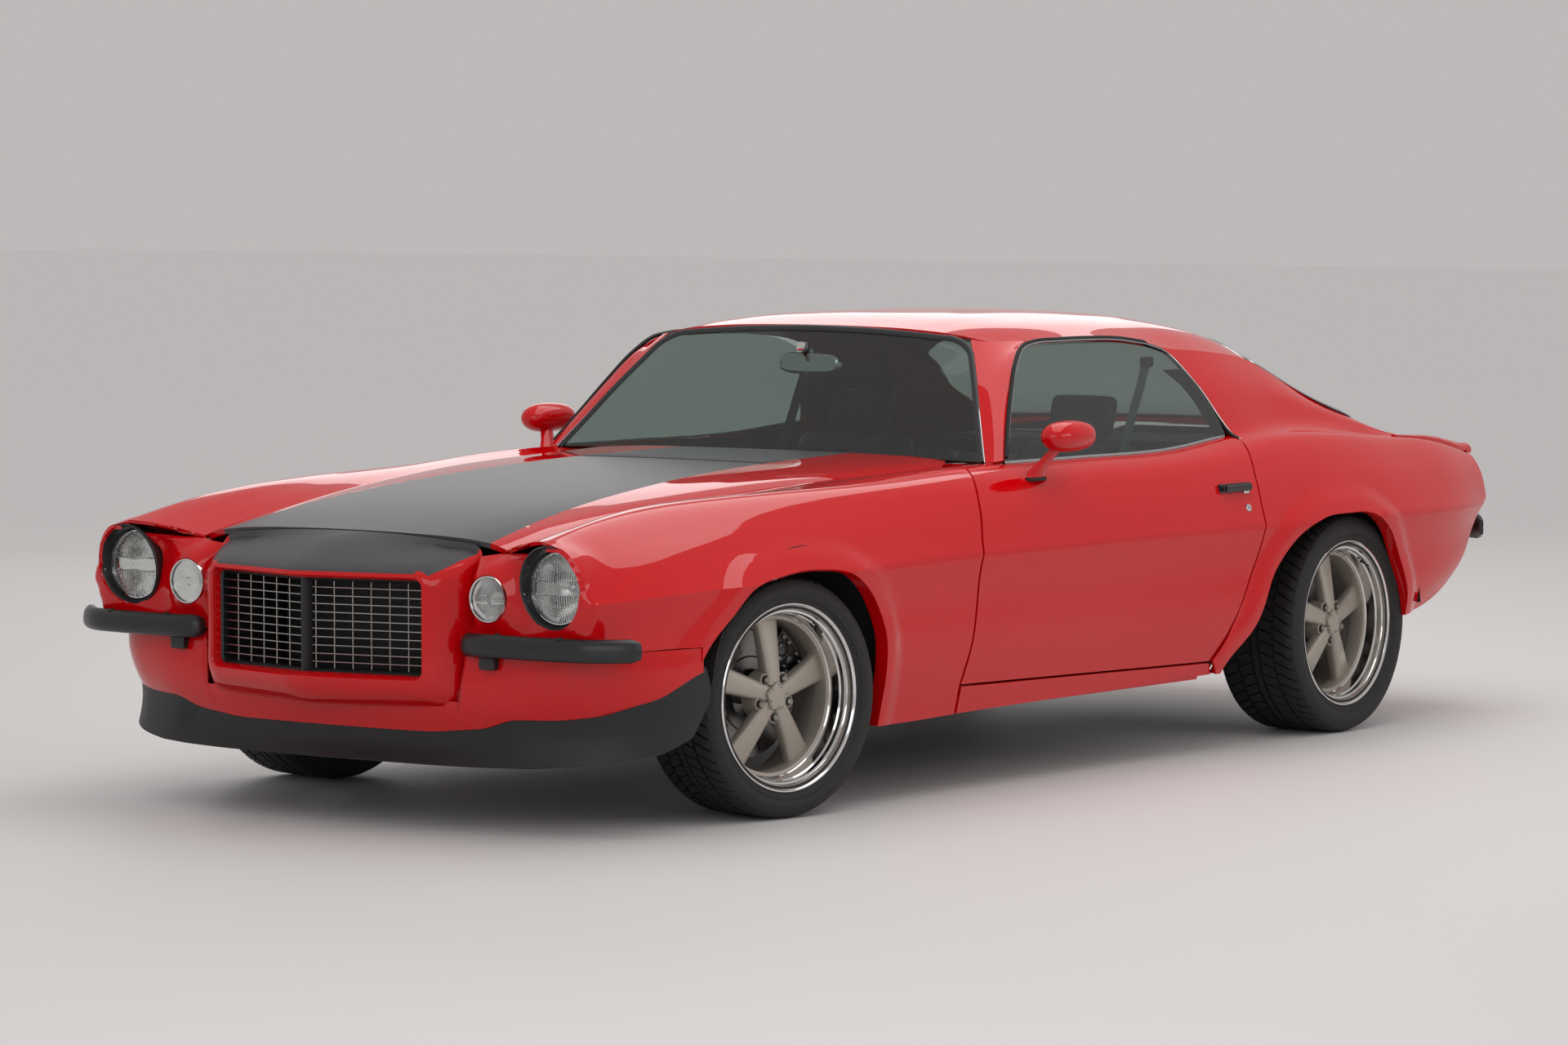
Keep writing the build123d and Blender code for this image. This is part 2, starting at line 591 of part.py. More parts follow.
def make_surround():
    """The pointed nose piece round the grille."""
    plan = [(-432, -2160), (-432, -2222), (-372, -2298), (0, -2387), (372, -2298), (432, -2222),
            (432, -2160)]
    ring = block_z([(318, plan), (367, plan), (660, [(x, y + 22 if y < -2200 else y) for x, y in plan]),
                    (692, [(x * 0.97, y + 100 if y < -2230 else y) for x, y in plan])])
    opening = front_prism([(-HALF_GRILLE, GRILLE_Z[0]), (HALF_GRILLE, GRILLE_Z[0]),
                           (HALF_GRILLE - 4, GRILLE_Z[1]), (4 - HALF_GRILLE, GRILLE_Z[1])], -2500, -2000)
    hollow = box(-400, 400, -2200, -2100, 336, 672)
    return ring - opening - hollow


def make_grille():
    """Crate of thin wires in two leaves that meet at a pointed centre bar."""
    lean = degrees(atan2(68, HALF_GRILLE))
    z0, z1 = GRILLE_Z[0] + 1, GRILLE_Z[1] - 1
    leaf = box(12, 358, -4, 2, z0, z0 + 5) + box(12, 358, -4, 2, z1 - 5, z1)
    leaf = leaf + box(352, 358, -4, 2, z0, z1)
    for i in range(1, 8):
        z = z0 + (z1 - z0) * i / 8
        leaf = leaf + box(12, 356, -4, -1, z - 1.5, z + 1.5)
    for i in range(1, 5):
        x = 12 + 344 * i / 5
        leaf = leaf + box(x - 1.5, x + 1.5, -1, 3, z0, z1)
    leaf = Pos(0, -2322, 0) * (Rot(0, 0, lean) * leaf)
    leaf = leaf & box(0, HALF_GRILLE - 1, -2500, -2000, z0, z1)
    bar = plan_prism([(-13, -2310), (-13, -2334), (0, -2346), (13, -2334), (13, -2310)], z0, z1)
    ears = front_prism([(HALF_GRILLE - 14, z0), (HALF_GRILLE - 1, z0), (HALF_GRILLE - 1, z1),
                        (HALF_GRILLE - 14, z1)], -2262, -2236)
    return leaf + ears + bar + flip(leaf) + flip(ears)


def make_lamps():
    """Headlamp buckets (black), and the clear lenses of headlamps and turn lamps."""
    tube = drum_y(LAMP_X, LAMP_Z, [(-2246, LAMP_R + 15), (-2180, LAMP_R + 15)])
    tube -= drum_y(LAMP_X, LAMP_Z, [(-2300, LAMP_R + 2), (-2200, LAMP_R + 2)])
    tube -= side_prism([(-2300, 500), (-2205, 500), (-2246, 740), (-2300, 740)], 500, 1000)
    tube -= drum_y(LAMP_X, LAMP_Z, [(-2210, 40), (-2170, 40)], 12)
    lens = drum_y(LAMP_X, LAMP_Z, [(-2216, LAMP_R - 30), (-2200, LAMP_R)])
    lens += drum_y(LAMP_X, LAMP_Z, [(-2200, 40), (-2178, 40)], 12)
    turn = drum_y(TURN_X, TURN_Z, [(-2234, TURN_R - 18), (-2222, TURN_R), (-2190, TURN_R)])
    return tube, lens, turn


def make_front_bumper():
    plan = [(445, -2240), (470, -2266), (700, -2264), (850, -2240), (930, -2166), (937, -2138),
            (925, -2128), (900, -2146), (846, -2206), (690, -2228), (452, -2228)]
    blade = plan_prism(plan, 456, 514)
    stay = box(500, 550, -2252, -2234, 424, 456)
    pad = box(520, 640, -2228, -2222, 484, 506)
    return blade + stay + pad


def make_valance():
    top = [(0, -2226), (430, -2222), (640, -2206), (790, -2150), (868, -2040), (900, -1930), (914, -1868),
           (906, -1868), (892, -1930), (860, -2036), (784, -2142), (638, -2198), (430, -2214), (0, -2218)]
    low = [(0, -2236), (430, -2216), (620, -2166), (740, -2100), (820, -2010), (862, -1910), (892, -1800),
           (884, -1800), (854, -1910), (812, -2006), (734, -2093), (616, -2158), (430, -2208), (0, -2228)]
    half = block_z([(268, low), (474, top)])
    half -= side_prism([(-2400, 252), (-2230, 254), (-2162, 294), (-2065, 300), (-2015, 367), (-1882, 405),
                        (-1757, 448), (-1700, 448), (-1700, 200), (-2400, 200)], -1, 1000)
    half -= side_prism(FRONT_ARCH, 500, 1000)
    centre = box(-432, 432, -2400, -2000, 314, 700)
    return (half + flip(half)) - centre


def make_chin():
    top = [(0, -2216), (400, -2200), (600, -2150), (730, -2085), (806, -2000), (850, -1900), (876, -1800),
           (868, -1800), (842, -1900), (798, -1996), (724, -2078), (596, -2142), (398, -2192), (0, -2208)]
    low = [(0, -2262), (420, -2244), (640, -2190), (780, -2110), (862, -2020), (900, -1930), (912, -1840),
           (904, -1840), (892, -1930), (854, -2016), (774, -2102), (636, -2182), (418, -2236), (0, -2254)]
    half = block_z([(178, low), (266, top)])
    half -= side_prism([(-2300, 177), (-2200, 179), (-1993, 215), (-1860, 262), (-1700, 330), (-1700, 100),
                        (-2300, 100)], -1, 1000)
    return half + flip(half)


# ---------------------------------------------------------------- cabin
def make_seat(x):
    cushion = chamfer(box(x - 250, x + 250, -60, 430, 300, 430).edges().filter_by(Axis.Y), 30)
    base = box(x - 200, x + 200, 0, 380, 236, 300)
    back = side_prism([(398, 400), (470, 400), (640, 860), (610, 890), (560, 880)], x - 235, x + 235)
    head = side_prism([(575, 870), (625, 870), (655, 1010), (605, 1010)], x - 120, x + 120)
    return cushion + base + back + head


def make_rear_seat():
    cushion = side_prism([(872, 396), (960, 440), (1120, 472), (1130, 472), (1130, 535), (860, 545)],
                         -540, 540)
    back = side_prism([(1090, 520), (1130, 472), (1236, 472), (1236, 832), (1185, 832)], -540, 540)
    return cushion + back


def make_dash():
    pad = side_prism([(-552, 600), (-330, 600), (-230, 640), (-200, 740), (-230, 800), (-336, 812),
                      (-336, 766), (-552, 766)], -700, 700)
    column = bar((370, -330, 640), (370, 10, 735), 22)
    console = box(-90, 90, -330, 500, 402, 470) + box(-60, 60, -330, -230, 402, 640)
    return pad + column + console


def make_steering_wheel():
    """Three-spoke wheel, made flat about the Z axis and then set square to its column."""
    rim_r = 172
    rim = drum(Plane.XY, [(-12, rim_r + 4), (0, rim_r + 12), (12, rim_r + 4)])
    rim -= drum(Plane.XY, [(-12, rim_r - 4), (0, rim_r - 12), (12, rim_r - 4)])
    wheel = bar((0, 0, -44), (0, 0, 10), 32, 12)
    for angle in (0, 180, 270):
        wheel = wheel + Rot(0, 0, angle) * box(20, rim_r - 8, -14, 14, -7, 0)
    tilt = degrees(atan2(340, 95))
    return Pos(370, 62, 749) * (Rot(-tilt, 0, 0) * (Rot(0, 0, 180) * (wheel + rim)))


# ---------------------------------------------------------------- wheels
def make_rim(width):
    """Five-spoke wheel with its brake disc about the X axis: outer face towards +X, middle at the origin."""
    w = width / 2
    face = w - 52
    barrel = drum(WHEEL_AXIS, [(-w, BEAD_R), (-w + 60, 210), (w - 70, 210), (w - 45, BEAD_R), (w, BEAD_R)],
                  WHEEL_SIDES)
    for flange in ((-w, -w + 6), (w - 6, w)):
        barrel += drum(WHEEL_AXIS, [(x, RIM_FLANGE_R) for x in flange], WHEEL_SIDES)
    barrel -= drum(WHEEL_AXIS, [(-w, 238), (-w + 6, 218), (-w + 60, 200), (w - 60, 200), (w - 6, 221),
                                (w, 238)], WHEEL_SIDES)
    hub = drum(WHEEL_AXIS, [(face - 62, 66), (face, 66)], 15)
    cap = drum(WHEEL_AXIS, [(face, 38), (face + 18, 36)], 5)
    wheel = barrel + hub + cap

    def spoke_ring(r, back, front, ridge, half):
        return [Vector(x, y, r) for x, y in ((back, -half), (back, half), (front, half + 3), (ridge, 0),
                                             (front, -half - 3))]
    spoke = faceted([spoke_ring(40, face - 50, face - 8, face + 2, 27),
                     spoke_ring(130, face - 56, face - 26, face - 14, 22),
                     spoke_ring(204, face - 68, face - 38, face - 28, 30)])
    pocket = bar((face - 14, 0, 51), (face + 30, 0, 51), 10, 6)
    for k in range(5):
        wheel = wheel + Rot(72 * k, 0, 0) * spoke
    for k in range(5):
        wheel = wheel - Rot(72 * k + 36, 0, 0) * pocket
    disc = drum(WHEEL_AXIS, [(face - 128, DISC_R), (face - 100, DISC_R)])
    hat = drum(WHEEL_AXIS, [(face - 118, 66), (face - 62, 66)], 15)
    return (wheel + disc + hat) - rod((face - 200, 0, 0), (face - 14, 0, 0), AXLE_R + 0.1)


def make_caliper(face):
    """Brake caliper over a disc whose wheel has its hub face at `face`, on the rear upper quarter."""
    outline = [(r * cos(radians(a)), r * sin(radians(a)))
               for r, angles in ((190, (22, 34, 46, 58)), (105, (58, 46, 34, 22))) for a in angles]
    body = side_prism(outline, face - 153, face - 75)
    return body - drum(WHEEL_AXIS, [(face - 135, DISC_R + 7), (face - 93, DISC_R + 7)])


def make_tyre(width, radius, rim_width):
    w, bead = width / 2, rim_width / 2 - 6
    half = [(bead, RIM_FLANGE_R + 1), (w, RIM_FLANGE_R + 20), (w - 4, radius - 24), (w - 24, radius)]
    tyre = drum(WHEEL_AXIS, [(-x, r) for x, r in half] + half[::-1], WHEEL_SIDES)
    return tyre - drum(WHEEL_AXIS, [(-w, BEAD_R), (w, BEAD_R)], WHEEL_SIDES)


def make_knuckle():
    """Left steering knuckle about the wheel's middle: upright, two ball pins, stub axle, caliper."""
    face = FRONT_RIM_W / 2 - 52
    back = KINGPIN_X - FRONT_WHEEL_X
    upright = box(back - 13, back + 11, -24, 24, -88, 126)
    pins = rod((back, 0, -116), (back, 0, -80), 8) + rod((back, 0, 120), (back, 0, 148), 8)
    stub = rod((back, 0, 0), (face - 20, 0, 0), AXLE_R)
    bracket = Rot(40, 0, 0) * box(back - 13, face - 152, 0, 150, -26, 26)
    return upright + pins + stub + bracket + make_caliper(face)


def on_front(shape, side):
    """A shape made about a front wheel's middle, placed on its hub and steered as the car stands."""
    placed = Pos(FRONT_WHEEL_X, FRONT_AXLE_Y, FRONT_TYRE_R) * shape
    placed = placed if side > 0 else flip(placed)
    pivot = Vector(side * KINGPIN_X, FRONT_AXLE_Y, 0)
    return Pos(*pivot) * (Rot(0, 0, STEER_AT_REST) * (Pos(*(pivot * -1)) * placed))


def on_rear(shape, side):
    placed = Pos(REAR_WHEEL_X, REAR_AXLE_Y, REAR_TYRE_R) * shape
    return placed if side > 0 else flip(placed)


# ---------------------------------------------------------------- the car
def build():
    floor = keep("floor_pan", make_floor())
    fender = make_fender()
    roof_pieces = make_roof()
    roof = keep("roof", *roof_pieces)
    quarter = make_quarter() - roof
    keep_pair("fender", fender)
    keep_pair("quarter", quarter)
    keep("rockers", *pair(make_rocker() - fender - quarter))
    keep("rear_wheel_tubs", *pair(make_wheel_tub() - quarter))
    subframe = keep("front_subframe", make_subframe())
    engine = keep("engine", make_engine())
    keep("engine_bay", make_engine_bay() - subframe - engine)
    keep("radiator", make_radiator())
    keep("cowl", make_cowl())
    axle = make_driveline() - floor
    keep("driveline", axle)
    keep("fuel_tank", make_tank())
    keep("exhaust", *make_exhaust())
    keep("windscreen", make_windscreen() - roof)
    keep("rear_window", make_backlight() - roof)
    keep("rear_shelf", make_rear_shelf())
    tail = keep("tail_panel", make_tail_panel() - floor)
    keep("tail_lamps", *make_tail_lamps())
    keep("rear_bumper", make_rear_bumper())
    keep("rear_valance", make_rear_valance() - tail)
    lid = make_decklid()
    spoiler_middle, spoiler_end = make_spoiler()
    keep("spoiler_ends", *pair(spoiler_end - quarter - lid))
    keep("decklid", lid)
    keep("rear_spoiler", spoiler_middle - lid)
    surround = keep("grille_surround", make_surround())
    header, bridge = make_header()
    header = header - surround - fender
    keep("lamp_panel", header, flip(header), bridge - surround)
    keep("grille", make_grille() - surround)
    bucket, head_lens, turn_lens = make_lamps()
    keep("lamp_buckets", *pair(bucket - header))
    keep("headlamps", *pair(head_lens - bucket))
    keep("turn_lamps", *pair(turn_lens - header))
    valance = keep("front_valance", make_valance() - surround)
    keep("front_bumpers", *pair(make_front_bumper() - header - valance - surround))
    keep("chin_spoiler", make_chin() - valance)
    keep("seat_left", make_seat(395))
    keep("seat_right", make_seat(-395))
    keep("rear_seat", make_rear_seat() - floor)
    keep("dashboard", make_dash())
    keep("steering_wheel", make_steering_wheel())
    keep("hood", make_hood())
    glass = make_door_glass()
    door = make_door() - glass
    keep_pair("door", door)
    keep_pair("door_glass", glass)
    keep_pair("mirror", make_mirror() - door)
    for side, name in ((1, "left"), (-1, "right")):
        keep("knuckle_" + name, on_front(make_knuckle(), side))
    for side, name in ((1, "fl"), (-1, "fr")):
        keep("wheel_" + name, on_front(make_rim(FRONT_RIM_W), side))
        keep("tyre_" + name, on_front(make_tyre(FRONT_TYRE_W, FRONT_TYRE_R, FRONT_RIM_W), side))
    for side, name in ((1, "rl"), (-1, "rr")):
        keep("wheel_" + name, on_rear(make_rim(REAR_RIM_W), side))
        keep("tyre_" + name, on_rear(make_tyre(REAR_TYRE_W, REAR_TYRE_R, REAR_RIM_W), side))


build()
os.makedirs("parts", exist_ok=True)
for name, shape in NODES.items():
    export_step(shape, f"parts/{name}.step")
print(len(NODES), "nodes")
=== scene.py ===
"""Looks of the two-door muscle car: painted panels, bright work, wheels, glass and cabin around the solids.

Points and sizes are in millimetres in the part's own frame: +X to the car's left, -Y to the front, +Z up.
"""
import math
import bmesh
import bpy
import numpy as np
from mathutils import Matrix, Vector
from mathutils.geometry import delaunay_2d_cdt


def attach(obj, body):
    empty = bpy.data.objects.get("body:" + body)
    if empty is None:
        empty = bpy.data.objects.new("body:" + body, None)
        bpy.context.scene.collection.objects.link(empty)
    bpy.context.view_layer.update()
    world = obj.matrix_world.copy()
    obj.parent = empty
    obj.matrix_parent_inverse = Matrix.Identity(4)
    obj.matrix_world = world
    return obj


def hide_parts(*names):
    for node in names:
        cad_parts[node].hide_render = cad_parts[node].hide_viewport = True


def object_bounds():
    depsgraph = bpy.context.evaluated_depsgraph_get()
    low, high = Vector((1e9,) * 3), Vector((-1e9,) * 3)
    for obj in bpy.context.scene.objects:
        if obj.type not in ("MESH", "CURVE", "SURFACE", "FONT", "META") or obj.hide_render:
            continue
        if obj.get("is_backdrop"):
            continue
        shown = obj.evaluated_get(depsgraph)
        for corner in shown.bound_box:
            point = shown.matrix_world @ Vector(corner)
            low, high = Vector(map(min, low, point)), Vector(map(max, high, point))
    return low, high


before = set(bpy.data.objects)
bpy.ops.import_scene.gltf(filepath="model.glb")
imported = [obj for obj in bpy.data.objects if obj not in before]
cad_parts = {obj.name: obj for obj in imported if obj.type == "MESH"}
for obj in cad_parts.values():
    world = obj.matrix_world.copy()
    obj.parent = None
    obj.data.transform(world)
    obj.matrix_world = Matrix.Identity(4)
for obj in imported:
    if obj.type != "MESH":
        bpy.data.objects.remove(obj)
CAD_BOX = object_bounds()
MM = 0.001
SIDES = (("left", 1), ("right", -1))

# ---------------------------------------------------------------- sizes shared with the solids
FRONT_AXLE_Y, REAR_AXLE_Y = -1420.0, 1313.0
FRONT_WHEEL_X, REAR_WHEEL_X = 770.0, 754.0
KINGPIN_X, STEER_AT_REST = 680.0, -8.1
FLANGE_R, BEAD_R, DISC_R = 246.0, 229.0, 165.0
FRONT_WHEEL = {"rim": 220.0, "tyre": 245.0, "radius": 314.0}
REAR_WHEEL = {"rim": 250.0, "tyre": 275.0, "radius": 325.0}
SPOKE_INSET = 52.0             # how far the spokes' face stands inside the rim's edge
FRONT_HOUSE, REAR_HOUSE = (-1424.0, 386.0), (1310.0, 392.0)   # each wheel house's middle y and radius
HOUSE_Z, HOUSE_INNER_X = 322.0, 590.0
HALF_GRILLE, GRILLE_LOW, GRILLE_TOP = 354.0, 394.0, 647.0
LAMP_X, LAMP_Z = 716.0, 634.0
TURN_X, TURN_Z, TURN_R = 510.0, 600.0, 60.0
TAIL_LAMPS_X, TAIL_LAMP_Z, TAIL_LAMP_R = (330.0, 540.0), 680.0, 66.0
DOOR_GAP, HINGE_GAP = 7.0, 8.4   # shut lines behind and ahead of a door
BELT_TOP_S = -60.0             # where a door skin ends at the belt
PANEL_WALL = 9.0               # depth of a panel's folded edge, seen in the shut lines
LATTICE = 13.0                 # spacing of the points on a panel


# ---------------------------------------------------------------- smooth lines and surfaces
def smooth(knots, values, at):
    """Cubic values at `at` through values at the increasing knots, straight on past both ends."""
    knots, at = np.asarray(knots, float), np.asarray(at, float)
    values = np.broadcast_to(values, (len(at),) + np.shape(values)[-2:])
    slopes = np.gradient(values, knots, axis=1)
    held = np.clip(at, knots[0], knots[-1])
    i = np.clip(np.searchsorted(knots, held, side="right") - 1, 0, len(knots) - 2)
    row = np.arange(len(at))
    gap = (knots[i + 1] - knots[i])[:, None]
    t = (held - knots[i])[:, None] / gap
    start, end = values[row, i], values[row, i + 1]
    out, back = slopes[row, i] * gap, slopes[row, i + 1] * gap
    inner = ((2 * t ** 3 - 3 * t ** 2 + 1) * start + (t ** 3 - 2 * t ** 2 + t) * out
             + (3 * t ** 2 - 2 * t ** 3) * end + (t ** 3 - t ** 2) * back)
    return inner + (at - held)[:, None] * slopes[row, np.where(t[:, 0] > 0.5, i + 1, i)]


def fair(line, soften=60.0):
    """A body line, (y, x, z), as a function of y; noise shorter than `soften` is taken out."""
    table = np.array(line, float)
    y = np.arange(table[0, 0] - 200, table[-1, 0] + 201, 10.0)
    reach = np.arange(-18, 19)
    weight = np.exp(-0.5 * (10.0 * reach / soften) ** 2)
    values = np.pad(smooth(table[:, 0], table[:, 1:], y), ((18, 18), (0, 0)), "reflect", reflect_type="odd")
    even = [np.convolve(values[:, k], weight / weight.sum(), "valid") for k in (0, 1)]
    return lambda at: np.stack([np.interp(at, y, values) for values in even], -1)


def run_of(line):
    """How far along the line each of its points lies."""
    return np.concatenate([[0], np.cumsum(np.linalg.norm(np.diff(line, axis=0), axis=1))])


def curved(points, gap=9.0, closed=False):
    """A smooth line through the points, sampled about every `gap`."""
    points = np.array(points, float)
    if closed:
        points = np.vstack([points[-2:], points, points[:3]])
    run = run_of(points)
    first, last = (run[2], run[-3]) if closed else (0, run[-1])
    count = max(2, int(math.ceil((last - first) / gap)) + 1)
    at = np.linspace(first, last, count)
    return smooth(run, points, at)[:-1 if closed else None]


def straight(points, gap=9.0):
    """The straight runs through the points, sampled about every `gap`."""
    points = np.array(points, float)
    out = []
    for a, b in zip(points, points[1:]):
        count = max(1, int(round(np.linalg.norm(b - a) / gap)))
        out.append(a + (b - a) * np.linspace(0, 1, count + 1)[:-1, None])
    return np.vstack(out + [points[-1:]])


def outlined(points, gap):
    """The straight sides of a closed outline, sampled about every `gap`."""
    return straight(list(points) + [points[0]], gap)[:-1]


class Surface:
    """A panel surface at (y, s): its sections run over `stops` and may turn sharply at `corners`."""

    def __init__(self, section, stops, corners=()):
        self.section, self.stops, self.corners = section, np.array(stops, float), corners

    def at(self, y, s):
        y, s = np.broadcast_arrays(np.asarray(y, float), np.asarray(s, float))
        rows = self.section(y)
        out = np.zeros((len(y), 3))
        out[:, 1] = y
        cuts = [0, *self.corners, len(self.stops) - 1]
        for a, b in zip(cuts, cuts[1:]):
            stops = self.stops[a:b + 1]
            part = s >= stops[0] if a else np.ones(len(s), bool)
            out[part, ::2] = smooth(stops, rows[part, a:b + 1], s[part])
        return out

    def on(self, line):
        """Points of the surface along a line of (y, s)."""
        return self.at(line[:, 0], line[:, 1])

    def level(self, y, z, low_stop, high_stop):
        """The s at which the section at y comes down to height z."""
        y, z = np.asarray(y, float), np.asarray(z, float)
        a, b = np.full(len(y), float(low_stop)), np.full(len(y), float(high_stop))
        for _ in range(26):
            middle = 0.5 * (a + b)
            above = self.at(y, middle)[:, 2] > z
            a, b = np.where(above, middle, a), np.where(above, b, middle)
        return 0.5 * (a + b)


# ---------------------------------------------------------------- shapes
class Shape:
    """Points with faces; each face carries the number of its finish."""

    def __init__(self, points=(), faces=(), finish=0):
        self.points = np.asarray(points, float).reshape(-1, 3)
        self.faces = [tuple(int(i) for i in face) for face in faces]
        self.finish = list(finish) if np.ndim(finish) else [finish] * len(self.faces)

    def __add__(self, other):
        return together([self, other])

    def flip(self):
        return Shape(self.points * (-1, 1, 1), [face[::-1] for face in self.faces], self.finish)

    def moved(self, matrix):
        matrix = np.array(matrix)
        return Shape(self.points @ matrix[:3, :3].T + matrix[:3, 3], self.faces, self.finish)

    def paint(self, finish):
        return Shape(self.points, self.faces, finish)

    def hand(self, side):
        return self if side > 0 else self.flip()


def together(shapes):
    """Several shapes as one."""
    starts = np.cumsum([0] + [len(shape.points) for shape in shapes])
    faces = [tuple(i + start for i in face) for shape, start in zip(shapes, starts) for face in shape.faces]
    return Shape(np.vstack([shape.points for shape in shapes]), faces,
                 sum((shape.finish for shape in shapes), []))


def both(shape):
    return shape + shape.flip()


def skin(rows, round_rows=False, capped=False, joined=False, finish=0):
    """Quads between rows of points; rows may be closed rings, capped at both ends or joined last to first."""
    rows = np.asarray(rows, float)
    n, m = rows.shape[:2]
    faces = []
    for i in range(n if joined else n - 1):
        k = (i + 1) % n
        for j in range(m if round_rows else m - 1):
            q = (j + 1) % m
            faces.append((i * m + j, i * m + q, k * m + q, k * m + j))
    if capped:
        faces += [tuple(range(m))[::-1], tuple((n - 1) * m + j for j in range(m))]
    return Shape(rows.reshape(-1, 3), faces, finish)


def tube(rows, finish=0):
    """Closed rings joined to a solid."""
    return skin(rows, round_rows=True, capped=True, finish=finish)


def full_turn(steps):
    """Evenly spaced angles round one turn."""
    return np.linspace(0, 2 * math.pi, steps, endpoint=False)


def around(degrees):
    """The cosine and sine of an angle in degrees."""
    return math.cos(math.radians(degrees)), math.sin(math.radians(degrees))


def lathe(profile, steps=96, finish=0, closed=False):
    """A form turned about +X from its (x, radius) profile."""
    angle = full_turn(steps)
    rows = [np.stack([np.full(steps, x), r * np.cos(angle), r * np.sin(angle)], 1) for x, r in profile]
    return skin(rows, round_rows=True, joined=closed, finish=finish)


def facing(origin, direction, roll_up=(0, 0, 1)):
    """A placement that carries +X onto a direction."""
    x = Vector(direction).normalized()
    y = Vector(roll_up).cross(x)
    y = y.normalized() if y.length > 1e-6 else Vector((0, 1, 0))
    basis = Matrix((x, y, x.cross(y))).transposed().to_4x4()
    return Matrix.Translation(Vector(origin)) @ basis


def tipped(degrees):
    """A turn about +X."""
    return Matrix.Rotation(math.radians(degrees), 4, "X")


def turned(profile, spot, direction, steps=28, finish=0):
    """A lathed form set on a spot, its +X along a direction."""
    return lathe(profile, steps, finish).moved(facing(spot, direction))


def swept(path, section, up=(0, 0, 1), closed=False, scale=None, finish=0):
    """A section, (across, up), carried along a path; `scale` widens it point by point."""
    path, up = np.asarray(path, float), np.asarray(up, float)
    section = np.asarray(section, float)
    ahead = np.roll(path, -1, 0) - np.roll(path, 1, 0)
    if not closed:
        ahead[0], ahead[-1] = path[1] - path[0], path[-1] - path[-2]
    ahead /= np.linalg.norm(ahead, axis=1, keepdims=True)
    across = np.cross(ahead, np.broadcast_to(up, path.shape))
    across /= np.linalg.norm(across, axis=1, keepdims=True)
    lift = np.cross(across, ahead)
    scale = np.ones(len(path)) if scale is None else np.asarray(scale, float)
    rows = [p + k * (section[:, :1] * a + section[:, 1:] * b)
            for p, a, b, k in zip(path, across, lift, scale)]
    return skin(rows, round_rows=True, joined=closed, capped=not closed, finish=finish)


def oval(width, height, sides=12, square=2.0):
    """A closed section, (across, up); `square` above 2 fills out its corners."""
    angle = full_turn(sides)
    c, s = np.cos(angle), np.sin(angle)
    k = 2.0 / square
    return 0.5 * np.stack([width * np.sign(c) * np.abs(c) ** k, height * np.sign(s) * np.abs(s) ** k], 1)


def block(low, high, soft=4.0, finish=0):
    """A rounded block between two corners, its edges eased by `soft`."""
    low, high = np.array(low, float), np.array(high, float)
    soft = min(soft, 0.45 * (high - low).min())
    middle, half = 0.5 * (low + high), 0.5 * (high - low)
    rows = []
    for level, inset in ((-1, 1), (-1, 0.3), (-1, 0), (1, 0), (1, 0.3), (1, 1)):
        rise = half[2] - (soft if inset == 0 else 0.3 * soft if inset == 0.3 else 0)
        outline = oval(2 * (half[0] - inset * soft), 2 * (half[1] - inset * soft), 20, 12.0)
        rows.append(np.column_stack([outline + middle[:2], np.full(20, middle[2] + level * rise)]))
    return tube(rows, finish)


def normals_of(shape):
    """Unit normals at the points."""
    out = np.zeros_like(shape.points)
    for size in {len(face) for face in shape.faces}:
        faces = np.array([face for face in shape.faces if len(face) == size])
        corner = shape.points[faces]
        if size == 4:
            normal = np.cross(corner[:, 2] - corner[:, 0], corner[:, 3] - corner[:, 1])
        else:
            normal = np.cross(corner[:, 1] - corner[:, 0], corner[:, 2] - corner[:, 0])
        for k in range(size):
            np.add.at(out, faces[:, k], normal)
    return out / np.maximum(np.linalg.norm(out, axis=1, keepdims=True), 1e-9)


def aimed(shape, outward):
    """The sheet with its faces turned to look outward."""
    away = (normals_of(shape) @ np.array(outward, float)).sum() < 0
    return Shape(shape.points, [face[::-1] for face in shape.faces], shape.finish) if away else shape


def thick(shape, wall=PANEL_WALL, outward=(1, 0, 0.4), edge_finish=None):
    """A sheet given a wall on its inner side, closed round its edges."""
    shape = aimed(shape, outward)
    normal = normals_of(shape)
    base = len(shape.points)
    inner = Shape(shape.points - wall * normal, [face[::-1] for face in shape.faces], shape.finish)
    whole = shape + inner
    seen = {}
    for face, finish in zip(shape.faces, shape.finish):
        for a, b in zip(face, face[1:] + face[:1]):
            if seen.pop((b, a), None) is None:
                seen[(a, b)] = finish
    for (a, b), finish in seen.items():
        whole.faces.append((b, a, a + base, b + base))
        whole.finish.append(finish if edge_finish is None else edge_finish)
    return whole


def within(points, loops):
    """Which (u, v) points lie inside the loops, by crossing count."""
    inside = np.zeros(len(points), bool)
    for loop in loops:
        for (u0, v0), (u1, v1) in zip(loop, np.roll(loop, -1, 0)):
            crosses = (v0 > points[:, 1]) != (v1 > points[:, 1])
            reach = u0 + (points[:, 1] - v0) * (u1 - u0) / ((v1 - v0) or 1e-9)
            inside ^= crosses & (points[:, 0] < reach)
    return inside


